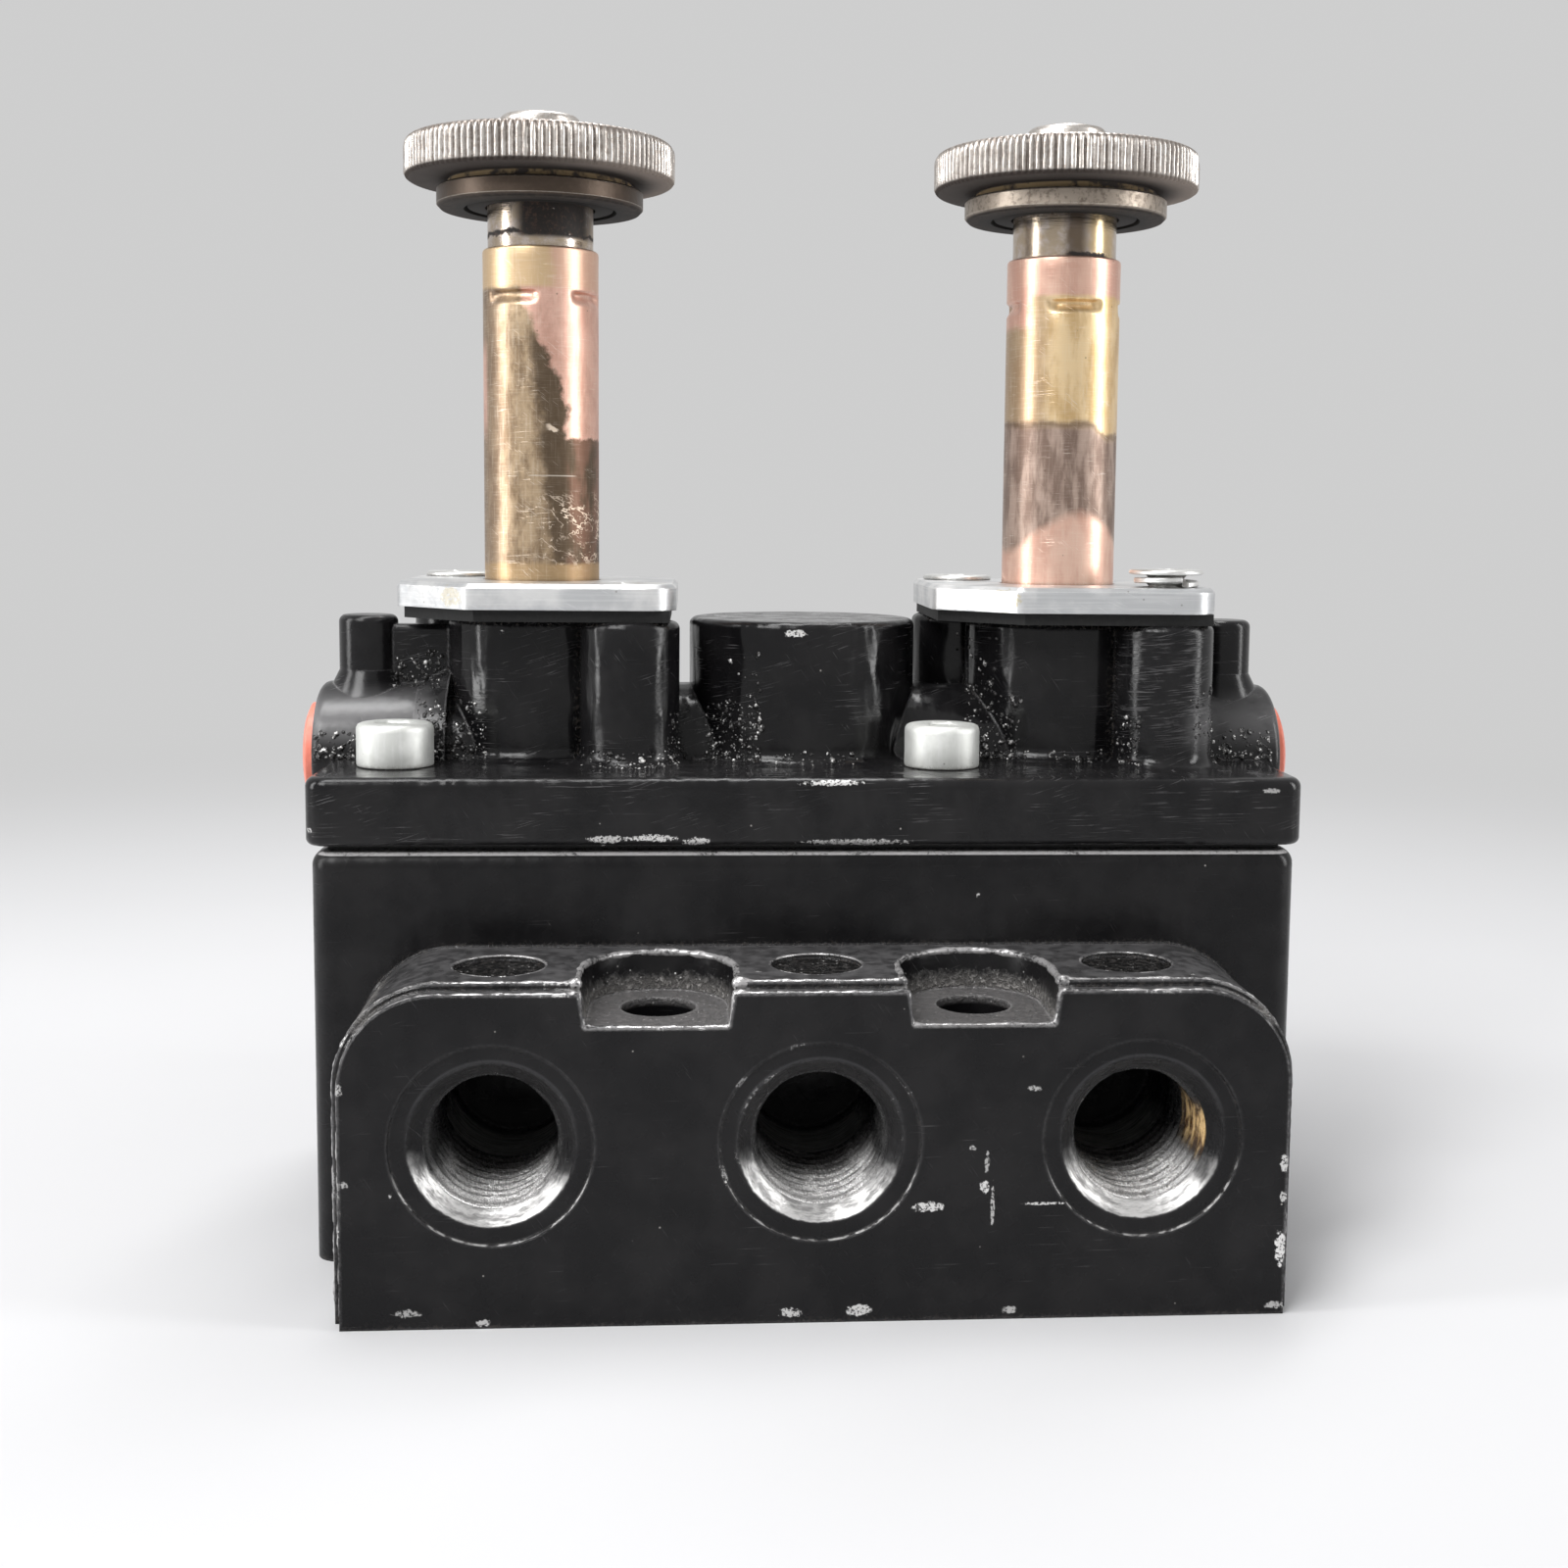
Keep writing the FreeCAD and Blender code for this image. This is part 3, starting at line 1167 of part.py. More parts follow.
def make_knurled_nut(side, sign):
    """The thumb nut: a knurled rim, a groove, and a sleeve whose lip holds the washer."""
    body = new_body(f"knurled_nut_{side}")
    bore = "core_shaft_radius + sleeve_neck_gap"
    thread, thread_end = "stud_radius + nut_thread_gap", "nut_thread_start + nut_thread_depth"
    lip_low = "washer_bottom + captive_gap"
    lip_high = f"{lip_low} + sleeve_lip_height"
    revolve(body, "nut", [
        (bore, lip_low), ("sleeve_lip_radius", lip_low), ("sleeve_lip_radius", lip_high),
        ("sleeve_radius", lip_high), ("sleeve_radius", "washer_top + groove_gap"),
        ("groove_radius", "washer_top + groove_gap"),
        ("groove_radius", "rim_bottom"), ("rim_radius - rim_edge", "rim_bottom"),
        ("rim_radius", "rim_bottom + rim_edge * 0.6"), ("rim_radius", "rim_top - rim_edge"),
        ("rim_radius - rim_edge * 0.3", "rim_top - rim_edge * 0.3"), ("rim_radius - rim_edge", "rim_top"),
        ("nut_boss_radius", "rim_top"), ("nut_boss_radius", "rim_top + nut_boss_height - nut_boss_edge"),
        ("nut_boss_radius - nut_boss_edge", "rim_top + nut_boss_height"), ("0", "rim_top + nut_boss_height"),
        ("0", thread_end), (thread, thread_end), (thread, "nut_thread_start"), (bore, "nut_thread_start")])
    tooth = new_sketch(body, "tooth_space", "XY_Plane", "rim_bottom")
    polygon(tooth, [("rim_radius - knurl_depth", "0"),
                    ("rim_radius + crimp_overlap", "-1 * knurl_half_width"),
                    ("rim_radius + crimp_overlap", "knurl_half_width")])
    notch = pocket(body, "notch", tooth, "rim_height", reverse=True)
    polar(body, "knurl", notch, "knurl_teeth")
    place(body, f"{sign} * pilot_x")
    return body


def make_nut_washer(side, sign):
    body = new_body(f"nut_washer_{side}")
    hole, pocket_roof = "sleeve_radius + captive_gap", "washer_bottom + washer_pocket_depth"
    revolve(body, "washer", [
        ("washer_pocket_radius", "washer_bottom"), ("washer_radius - washer_edge", "washer_bottom"),
        ("washer_radius", "washer_bottom + washer_edge"), ("washer_radius", "washer_top - washer_edge * 0.5"),
        ("washer_radius - washer_edge * 0.5", "washer_top"), (hole, "washer_top"), (hole, pocket_roof),
        ("washer_pocket_radius", pocket_roof)])
    place(body, f"{sign} * pilot_x")
    return body


nodes = [
    make_sub_base(),
    make_base_gasket(),
    make_valve_body(),
    make_flange_cap_screws(),
    make_spool(),
    make_spool_seals(),
    make_piston_seals(),
    make_end_plug_seals(),
    make_clamp_plate_screws(),
    make_flat_plate_screw(),
]
PAIRED = (
    make_pilot_piston, make_end_plug, make_override_button, make_override_seal, make_override_clip,
    make_override_spring, make_clamp_plate, make_pilot_gasket, make_armature_tube, make_tube_seal,
    make_fixed_core, make_shading_ring, make_armature, make_armature_pad, make_armature_spring,
    make_orifice_seat, make_knurled_nut, make_nut_washer)
for make in PAIRED:
    for side, sign in SIDES:
        nodes.append(make(side, sign))

doc.recompute()

faults = [f"{item.Name}: {item.State}" for item in doc.Objects
          if "Invalid" in item.State or "Error" in item.State]
faults += [f"{node.Label}: no valid shape" for node in nodes
           if node.Shape.isNull() or not node.Shape.isValid()]
faults += [f"{node.Label}: more than one solid" for node in nodes
           if node.TypeId != "Part::Compound" and len(node.Shape.Solids) != 1]
if faults:
    raise RuntimeError("; ".join(faults))

os.makedirs("parts", exist_ok=True)
for node in nodes:
    node.Shape.exportStep(f"parts/{node.Label}.step")
    print(f"{node.Label}: {len(node.Shape.Solids)} solids, {node.Shape.Volume:.1f} mm3")
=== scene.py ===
import math
import random
from functools import reduce

import bmesh
import bpy
from mathutils import Matrix, Vector, noise
from mathutils.bvhtree import BVHTree


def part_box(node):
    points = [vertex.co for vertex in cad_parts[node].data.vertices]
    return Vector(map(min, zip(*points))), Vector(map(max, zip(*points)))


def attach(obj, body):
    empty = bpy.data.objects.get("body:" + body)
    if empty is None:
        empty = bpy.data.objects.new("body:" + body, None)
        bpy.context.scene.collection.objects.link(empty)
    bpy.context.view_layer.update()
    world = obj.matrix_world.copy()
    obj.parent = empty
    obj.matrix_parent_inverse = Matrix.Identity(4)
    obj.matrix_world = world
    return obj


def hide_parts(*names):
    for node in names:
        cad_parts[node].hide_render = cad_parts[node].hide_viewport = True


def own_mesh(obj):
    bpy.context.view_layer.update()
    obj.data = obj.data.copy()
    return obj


# Looks of the double-solenoid air valve. Objects are in metres; the sizes below are in
# millimetres of the part's own frame, and shader patterns are laid out in them too.
MM = 0.001
SIDES = (("left", -1), ("right", 1))

PILOT_X = 25.3
STATION = 13.5
PORT_Z = 15.4
FRONT_PORTS = (-27.0, 0.0, 27.0)
REAR_PORTS = (-13.5, 13.5)
APRON_FACE = 35.0
APRON_TOP = 28.6
MARK_Y = 27.0
MARK_RADIUS = 3.95
FLANGE_TOP = 43.7
PLATE_TOP = 60.5
CAP_SCREWS = ((-37.9, -11.3), (12.6, -11.3), (37.9, 11.3), (-12.6, 11.3))
PLATE_SCREW = 8.8
SCREW_LIFT = 1.2
THREAD_PITCH = 0.7
TUBE_TURN = {"left": 244.0, "right": 273.0}

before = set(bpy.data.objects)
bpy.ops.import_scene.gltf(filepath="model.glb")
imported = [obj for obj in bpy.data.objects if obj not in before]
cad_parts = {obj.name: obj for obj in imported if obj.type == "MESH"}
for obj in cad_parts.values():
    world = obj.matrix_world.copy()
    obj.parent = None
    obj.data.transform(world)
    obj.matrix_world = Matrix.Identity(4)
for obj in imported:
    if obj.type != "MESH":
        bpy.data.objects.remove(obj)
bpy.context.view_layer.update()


# ---- shader helpers

def chain(operation):
    """A method that joins any number of values by one operation, from the left."""
    return lambda self, *values: reduce(lambda total, value: self.math(operation, total, value), values)


class Shader:
    """Builds one node material around a Principled surface, with places in millimetres."""

    def __init__(self, name):
        self.material = bpy.data.materials.new(name)
        self.material.use_nodes = True
        self.nodes = self.material.node_tree.nodes
        self.links = self.material.node_tree.links
        self.surface = self.nodes["Principled BSDF"]
        coordinates = self.add("ShaderNodeTexCoord")
        self.place = self.vector("SCALE", coordinates.outputs["Object"], scale=1.0 / MM)
        split = self.add("ShaderNodeSeparateXYZ", {0: self.place})
        self.x, self.y, self.z = split.outputs

    def add(self, kind, inputs=None, **settings):
        node = self.nodes.new(kind)
        for name, value in settings.items():
            setattr(node, name, value)
        for name, value in (inputs or {}).items():
            self.put(node.inputs[name], value)
        return node

    def put(self, socket, value):
        """Join a socket to an output, or write a plain value on it."""
        if isinstance(value, bpy.types.NodeSocket):
            self.links.new(value, socket)
        elif isinstance(value, (tuple, list)) and len(value) == 3 and socket.type == "RGBA":
            socket.default_value = (*value, 1.0)
        else:
            socket.default_value = value

    def vector(self, operation, first, second=None, scale=None):
        inputs = {0: first}
        if second is not None:
            inputs[1] = second
        if scale is not None:
            inputs["Scale"] = scale
        node = self.add("ShaderNodeVectorMath", inputs, operation=operation)
        return node.outputs["Value" if operation in ("DOT_PRODUCT", "LENGTH") else "Vector"]

    def math(self, operation, first, second=0.0, third=0.0):
        return self.add("ShaderNodeMath", {0: first, 1: second, 2: third}, operation=operation).outputs[0]

    sum, product, highest = chain("ADD"), chain("MULTIPLY"), chain("MAXIMUM")

    def minus(self, first, second):
        return self.math("SUBTRACT", first, second)

    def invert(self, value):
        return self.minus(1.0, value)

    def size(self, value):
        """The value without its sign."""
        return self.math("ABSOLUTE", value)

    def rise(self, value, low, high):
        """Smooth step from 0 at low to 1 at high; low above high gives a falling step."""
        if low > high:
            return self.invert(self.rise(value, high, low))
        node = self.add("ShaderNodeMapRange", {"Value": value, "From Min": low, "From Max": high},
                        interpolation_type="SMOOTHSTEP")
        return node.outputs["Result"]

    def band(self, value, low, high, soft):
        """One between low and high, with soft edges."""
        return self.product(self.rise(value, low - soft, low + soft),
                            self.rise(value, high + soft, high - soft))

    def mix(self, share, first, second):
        """Blend two colours."""
        node = self.add("ShaderNodeMix", data_type="RGBA")
        for socket, value in zip((node.inputs[0], node.inputs[6], node.inputs[7]),
                                 (share, first, second)):
            self.put(socket, value)
        return node.outputs[2]

    def blend(self, share, first, second):
        """Blend two numbers."""
        node = self.add("ShaderNodeMix", {0: share, 2: first, 3: second}, data_type="FLOAT")
        return node.outputs[0]

    def noise(self, scale, stretch=(1.0, 1.0, 1.0), shift=0.0, detail=3.0, roughness=0.55, turn=None):
        """Noise in features per millimetre; a stretch under 1 draws it out along an axis, and turn
        tilts it in the front view by an angle in degrees."""
        where = self.place
        if turn is not None:
            where = self.add("ShaderNodeVectorRotate", {"Vector": where, "Angle": math.radians(turn)},
                             rotation_type="Y_AXIS").outputs[0]
        where = self.vector("MULTIPLY", where, stretch)
        where = self.vector("ADD", where, (shift, shift * 0.7, shift * 1.3))
        node = self.add("ShaderNodeTexNoise", {"Vector": where, "Scale": scale, "Detail": detail,
                                               "Roughness": roughness})
        return node.outputs["Fac"]

    def specks(self, scale, share, size, shift=0.0):
        """Small separate spots, in a share of the cells of a random pattern."""
        where = self.vector("ADD", self.place, (shift, shift, shift))
        node = self.add("ShaderNodeTexVoronoi", {"Vector": where, "Scale": scale})
        number = self.add("ShaderNodeSeparateColor", {0: node.outputs["Color"]}).outputs[0]
        return self.product(self.rise(node.outputs["Distance"], size, size * 0.6),
                            self.rise(number, 1.0 - share, 1.0 - share * 0.8))

    def hairlines(self, turn, width, length, shift, share, clump=0.11):
        """Fine parallel scratches that lie in groups and fade in and out."""
        streak = self.noise(1.0, stretch=(1.0 / length, 1.0 / length, 0.8 / width), shift=shift,
                            detail=1.0, turn=turn)
        group = self.noise(clump, stretch=(1.0, 1.0, 1.6), shift=shift + 9.0, detail=2.0)
        edge = 0.70 - share * 0.16
        return self.product(self.rise(streak, edge, edge + 0.07), self.rise(group, 0.49, 0.63))

    def marks(self, spots, ragged):
        """Chips and scuffs at given places of the front view: x, z, half width, half height, share."""
        speckle = self.rise(self.noise(4.0, shift=91.0, detail=2.0, roughness=0.7), 0.36, 0.5)
        total = 0.0
        for x, z, wide, high, share in spots:
            across = self.math("MULTIPLY", self.minus(self.x, x), 1.0 / wide)
            above = self.math("MULTIPLY", self.minus(self.z, z), 1.0 / high)
            reach = self.sum(self.product(across, across), self.product(above, above), ragged)
            total = self.highest(self.product(self.rise(reach, 1.0, 0.6), share), total)
        return self.product(total, speckle)

    def edges(self, radius, low=0.02, high=0.12):
        """One along edges that a file of that radius would touch, and the normal it would leave."""
        bevel = self.add("ShaderNodeBevel", {"Radius": radius * MM}, samples=4)
        plain = self.add("ShaderNodeNewGeometry").outputs["Normal"]
        turn = self.invert(self.vector("DOT_PRODUCT", bevel.outputs["Normal"], plain))
        return self.rise(turn, low, high), bevel.outputs["Normal"]

    def upward(self, low=0.6, high=0.95):
        """One where the surface faces up."""
        normal = self.add("ShaderNodeNewGeometry").outputs["Normal"]
        height = self.add("ShaderNodeSeparateXYZ", {0: normal}).outputs[2]
        return self.rise(height, low, high)

    def crevices(self, distance, low=0.75, high=0.45):
        """One deep in corners within a distance, and zero in the open."""
        hidden = self.add("ShaderNodeAmbientOcclusion", {"Distance": distance * MM}, samples=6)
        return self.rise(hidden.outputs["AO"], low, high)

    def bump(self, height, depth, normal=None):
        """Surface relief with its depth in millimetres."""
        node = self.add("ShaderNodeBump", {"Height": height, "Strength": 1.0, "Distance": depth * MM})
        if normal is not None:
            self.put(node.inputs["Normal"], normal)
        return node.outputs["Normal"]

    def coat(self, colour, *shares):
        """Lay a colour over the paint so far, as strongly as its shares multiplied."""
        self.colour = self.mix(self.product(*shares), self.colour, colour)

    def finish(self, **inputs):
        """Write the paint so far and the surface's other inputs, and hand the material over."""
        for name, value in dict(inputs, Base_Color=self.colour).items():
            self.put(self.surface.inputs[name.replace("_", " ")], value)
        return self.material

    def distance(self, across, along):
        return self.math("SQRT", self.sum(self.product(across, across), self.product(along, along)))

    def axis_distance(self, x):
        """Distance from the upright axis of the nearer pilot."""
        return self.distance(self.minus(self.size(self.x), x), self.y)

    def rings(self, across, above, radius):
        """Noise drawn out round an axis, like the marks of a turning tool."""
        angle = self.math("ARCTAN2", above, across)
        spot = self.add("ShaderNodeCombineXYZ", {0: self.product(radius, 6.0), 1: self.product(angle, 1.6),
                                                 2: self.product(self.x, 0.2)}).outputs[0]
        node = self.add("ShaderNodeTexNoise", {"Vector": spot, "Scale": 1.0, "Detail": 4.0, "Roughness": 0.7})
        return node.outputs["Fac"]

    def station_offset(self):
        """Sideways distance from the nearest port station of the face that is nearer."""
        front = self.math("LESS_THAN", self.y, 0.0)
        across_front = self.math("WRAP", self.x, STATION, -STATION)
        across_rear = self.math("WRAP", self.math("ADD", self.x, STATION), STATION, -STATION)
        return self.blend(front, across_rear, across_front)


# ---- black paint

BARE_METAL = (0.78, 0.77, 0.76)
PAINT = (0.0052, 0.005, 0.0056)
WORN_PAINT = (0.011, 0.0105, 0.011)

# Chips and scuffs seen on the front plate, on the flange's face and on the bosses.
PLATE_CHIPS = (
    (-39.7, 8.5, 0.4, 0.9, 0.9), (-39.2, 20.3, 0.35, 0.6, 0.6), (-38.9, 12.3, 0.4, 0.3, 0.5),
    (-33.9, 1.4, 1.1, 0.35, 0.5), (-27.7, 0.5, 0.6, 0.3, 0.7), (-2.4, 0.9, 0.9, 0.4, 0.8),
    (3.3, 1.0, 1.0, 0.5, 0.9), (16.0, 0.8, 0.7, 0.3, 0.6), (38.6, 0.8, 0.8, 0.35, 0.6),
    (39.0, 5.8, 0.55, 1.5, 1.0), (39.1, 10.3, 0.35, 0.5, 0.7), (39.1, 13.1, 0.35, 0.8, 0.8),
    (8.9, 9.8, 1.4, 0.4, 0.9), (13.7, 11.5, 0.4, 0.55, 0.9), (14.4, 9.9, 0.16, 1.7, 0.6),
    (13.9, 13.4, 0.2, 1.0, 0.5), (18.7, 9.95, 1.7, 0.13, 0.8), (12.7, 14.8, 0.3, 0.25, 0.6),
    (17.7, 19.8, 0.6, 0.3, 0.5))
FLANGE_CHIPS = (
    (-18.1, 38.3, 1.7, 0.35, 0.7), (-14.1, 38.4, 2.3, 0.32, 0.8), (-10.2, 38.1, 1.3, 0.35, 0.8),
    (4.0, 38.0, 4.6, 0.3, 0.6), (1.8, 43.3, 2.7, 0.25, 0.7), (41.5, 42.6, 0.8, 0.25, 0.5),
    (-1.2, 56.0, 1.1, 0.35, 0.9), (-24.9, 52.5, 0.7, 0.5, 0.5), (-44.2, 39.0, 0.3, 0.3, 0.6))


def enamel(name, casting):
    """Glossy black paint with grouped hairlines, chips to bright metal, specks and gritty corners, and
    painted light: a painted highlight along open edges, upward faces painted lighter for dust and top light,
    and a painted sheen on the casting's barrels.
    """
    s = Shader(name)
    edge, rounded = s.edges(0.35 if casting else 0.45)
    patches = s.noise(0.2, shift=3.0)
    fine = s.noise(2.6, shift=7.0, detail=4.0, roughness=0.7)
    ragged = s.product(s.minus(fine, 0.5), 4.5)
    corner = s.crevices(1.2)
    open_edge = s.product(edge, s.invert(corner))
    chips = s.product(open_edge, s.rise(s.sum(patches, s.product(fine, 0.5)), 0.93, 0.98))
    facing = s.math("LESS_THAN", s.y, -9.0 if casting else -34.0)
    seen = s.product(s.marks(FLANGE_CHIPS if casting else PLATE_CHIPS, ragged), facing)
    dents = s.product(s.specks(0.3, 0.05, 0.1, shift=5.0), s.rise(fine, 0.5, 0.56))
    level = s.hairlines(1.5, 0.08, 4.0, shift=2.0, share=0.45 if casting else 0.0)
    tilted = s.hairlines(17.0, 0.08, 3.0, shift=21.0, share=0.4 if casting else 0.0)
    crossed = s.hairlines(-55.0, 0.08, 2.5, shift=43.0, share=0.15, clump=0.25)
    lines = s.highest(level, s.product(tilted, 0.8), s.product(crossed, 0.6))
    lines = s.product(lines, s.sum(0.35, s.rise(s.noise(0.6, shift=61.0), 0.4, 0.65)))
    if casting:
        streaks = s.noise(1.0, stretch=(0.35, 0.35, 8.0), shift=65.0, detail=2.0, turn=6.0)
        rubbed = s.product(s.band(s.x, 29.5, 37.5, 0.8), s.band(s.z, 46.0, 56.0, 1.0),
                           s.rise(streaks, 0.5, 0.64),
                           s.rise(s.noise(0.35, stretch=(1.0, 1.0, 2.0), shift=68.0), 0.4, 0.56))
        lines = s.highest(lines, rubbed)
    dust = s.specks(0.9, 0.04, 0.09, shift=11.0)
    grit = s.product(corner, s.rise(s.noise(3.0, shift=1.0, detail=2.0), 0.5, 0.62))
    bare = s.highest(chips, dents, seen)

    s.colour = s.mix(s.rise(patches, 0.35, 0.7), PAINT, WORN_PAINT)
    s.coat((0.11, 0.107, 0.11), lines, 0.5 if casting else 0.3)
    s.coat((0.4, 0.38, 0.36), dust, 0.7)
    s.coat((0.16, 0.135, 0.115), grit, 0.25)
    if not casting:
        from_port = s.distance(s.station_offset(), s.minus(s.z, PORT_Z))
        open_edge = s.product(open_edge, s.blend(s.rise(from_port, 8.9, 8.7), 1.0, 0.25))
    # Painted highlight and wear: every open edge is painted a little greyer as a painted edge highlight, and
    # noisy stretches of it much greyer as worn paint.
    wear = s.product(open_edge, s.rise(s.sum(fine, s.product(patches, 0.6)), 0.62, 0.95))
    s.coat((0.25, 0.245, 0.25), s.sum(s.product(open_edge, 0.2), s.product(wear, 0.7)))
    # Dust and painted top light: faces that look up are painted lighter grey, partly as settled dust and
    # partly as the light falling on them from above.
    dusty = s.rise(s.noise(0.9, shift=87.0, detail=4.0), 0.35, 0.65)
    dust_and_top_light = s.product(s.upward(), s.blend(dusty, 0.4, 1.0))
    s.coat((0.17, 0.167, 0.17), dust_and_top_light, 0.05 if casting else 0.4)
    barrel = s.rise(s.size(s.x), 34.0, 37.0)
    wobble = s.sum(s.noise(0.5, stretch=(1.0, 1.0, 0.3), shift=40.0, detail=1.0), -0.5)
    relief = s.sum(s.product(wobble, s.blend(barrel, 1.0, 0.12)) if casting else wobble,
                   s.product(s.noise(1.8, shift=50.0, detail=2.0), 0.05 if casting else 0.12),
                   s.product(grit, 1.1), s.product(lines, -0.04), s.product(bare, -0.15))
    if casting:
        # Painted highlight: the barrels' upper fronts are painted lighter grey, more on the left barrel, as a
        # gloss sheen.
        painted_barrel_sheen = s.product(barrel, s.band(s.z, 45.8, 49.2, 1.6), s.rise(s.noise(0.3, shift=71.0), 0.1, 0.5))
        left = s.math("LESS_THAN", s.x, 0.0)
        s.coat((0.36, 0.355, 0.36), painted_barrel_sheen, s.blend(left, 0.2, 0.42))
        low, high, depth = 0.09, 0.24, 0.22
    else:
        low, high, depth = 0.20, 0.34, 0.08
        bare, relief = machined_places(s, bare, relief, fine, edge)
    s.coat(BARE_METAL, bare)
    rough = s.blend(s.rise(s.noise(0.4, shift=14.0), 0.35, 0.7), low, high)
    if casting:
        rough = s.blend(s.product(barrel, s.rise(s.z, 44.0, 45.0)), rough, 0.2)
    rough = s.product(rough, s.blend(edge, 1.0, 0.6))
    rough = s.blend(lines, rough, 0.42)
    rough = s.blend(s.product(dust_and_top_light, 0.1 if casting else 0.5), rough, 0.5)
    rough = s.blend(grit, rough, 0.1)
    rough = s.blend(bare, rough, 0.36)
    return s.finish(Metallic=s.product(bare, 0.8), Roughness=rough,
                    Specular_IOR_Level=0.27 if casting else 0.2, Normal=s.bump(relief, depth, rounded))


def machined_places(s, bare, relief, fine, edge):
    """The sub-base's bright port mouths, chipped spotface rings, cast marks and worn recesses, with painted
    shade on the chamfers' upper parts, a painted highlight arc above them and a painted highlight along the
    block's top edge.
    """
    across = s.station_offset()
    above = s.minus(s.z, PORT_Z)
    radius = s.distance(across, above)
    depth_of_face = s.minus(APRON_FACE, s.size(s.y))
    ragged = s.sum(radius, s.product(s.noise(0.9, shift=17.0), 0.3), -0.15)
    behind = s.math("GREATER_THAN", s.y, 0.0)
    within = s.product(s.rise(s.size(s.y), 14.0, 15.0),
                       s.rise(s.sum(s.size(s.x), s.product(behind, 12.0)), 36.0, 35.0))
    # Painted shade: the chamfer is bare metal only on its lower part; higher up it keeps the black paint,
    # which stands in for the dark reflection there.
    lit = s.rise(s.sum(above, s.product(s.noise(0.5, shift=29.0), 3.0), s.product(across, 0.1)), 0.4, -3.2)
    mouth = s.product(s.rise(ragged, 6.95, 6.8), within)
    cuts = s.rings(across, above, s.sum(radius, s.product(depth_of_face, 0.7)))
    metal = s.product(mouth, lit, s.blend(s.rise(cuts, 0.36, 0.6), 0.3, 0.85))
    ring = s.product(within, s.band(radius, 8.35, 8.41, 0.05), s.rise(above, -1.5, -4.0),
                     s.rise(s.noise(0.7, shift=23.0), 0.44, 0.55))
    # Painted highlight: a faint grey arc is painted along the top of each chamfer's rim.
    painted_upper_arc = s.product(within, s.band(radius, 7.0, 7.2, 0.1), s.rise(above, 1.0, 4.0), 0.25)

    mark = s.distance(across, s.minus(s.size(s.y), MARK_Y))
    on_top = s.product(s.rise(s.z, 27.3, 27.9), s.rise(s.size(s.x), 36.0, 35.0))
    floor = s.product(s.rise(mark, MARK_RADIUS, MARK_RADIUS - 0.15), on_top)
    gravel = s.product(floor, s.rise(s.noise(1.6, shift=37.0, detail=3.0), 0.44, 0.56))

    between = s.minus(STATION, s.size(across))
    recess = s.product(s.band(between, -0.5, 7.6, 0.2), s.band(s.z, 24.6, 28.4, 0.2),
                       s.rise(depth_of_face, 13.5, 13.0), s.rise(depth_of_face, 0.05, 0.3))
    grainy = s.noise(1.7, shift=57.0, detail=4.0, roughness=0.7)
    shiny = s.product(recess, s.rise(s.sum(s.z, s.product(grainy, 3.0)), 28.4, 26.6),
                      s.rise(grainy, 0.4, 0.6))
    grains = s.product(recess, s.specks(2.0, 0.35, 0.2, shift=3.0), s.rise(s.z, 28.2, 26.6))
    worn = s.product(edge, s.highest(recess, s.band(s.z, 24.9, 25.5, 0.2)), s.rise(fine, 0.28, 0.5))

    low_wall = s.product(recess, s.rise(s.sum(s.z, s.product(grainy, 2.4)), 28.2, 26.7),
                         s.rise(s.z, 25.3, 25.4))
    recess_floor = s.product(recess, s.rise(s.z, 25.4, 25.3))
    # Painted highlight: a pale, broken line is painted along the rounded top edge of the block, where light
    # from the front catches it.
    painted_rim_highlight = s.product(s.band(s.z, 36.74, 37.0, 0.06), s.rise(s.size(s.y), 18.4, 18.8),
                         s.rise(s.sum(fine, s.noise(0.3, stretch=(1.0, 1.0, 0.2), shift=41.0)), 0.7, 0.95))
    s.coat((0.15, 0.135, 0.125), shiny, 0.4)
    pebbled = s.rise(s.noise(2.4, shift=63.0, detail=3.0, roughness=0.7), 0.42, 0.62)
    s.coat((0.38, 0.365, 0.35), low_wall, s.blend(pebbled, 0.25, 0.75))
    s.coat((0.15, 0.145, 0.145), recess_floor, s.blend(grainy, 0.3, 0.9))
    s.coat((0.36, 0.35, 0.35), worn, 0.5)
    s.coat((0.5, 0.49, 0.49), painted_rim_highlight)
    s.coat(s.mix(gravel, (0.003, 0.003, 0.003), (0.028, 0.026, 0.025)), floor)
    s.coat((0.09, 0.09, 0.095), painted_upper_arc)
    sparks = s.product(floor, s.specks(1.8, 0.4, 0.2, shift=9.0))
    bare = s.highest(bare, metal, s.product(ring, 0.7), s.product(worn, 0.15), s.product(grains, 0.7),
                     s.product(sparks, 0.7))
    relief = s.sum(relief, s.product(mouth, cuts, 1.6), s.product(gravel, 9.0), s.product(shiny, 1.6),
                   s.product(low_wall, pebbled, 3.0))
    return bare, relief


# ---- metals, rubber and plastic

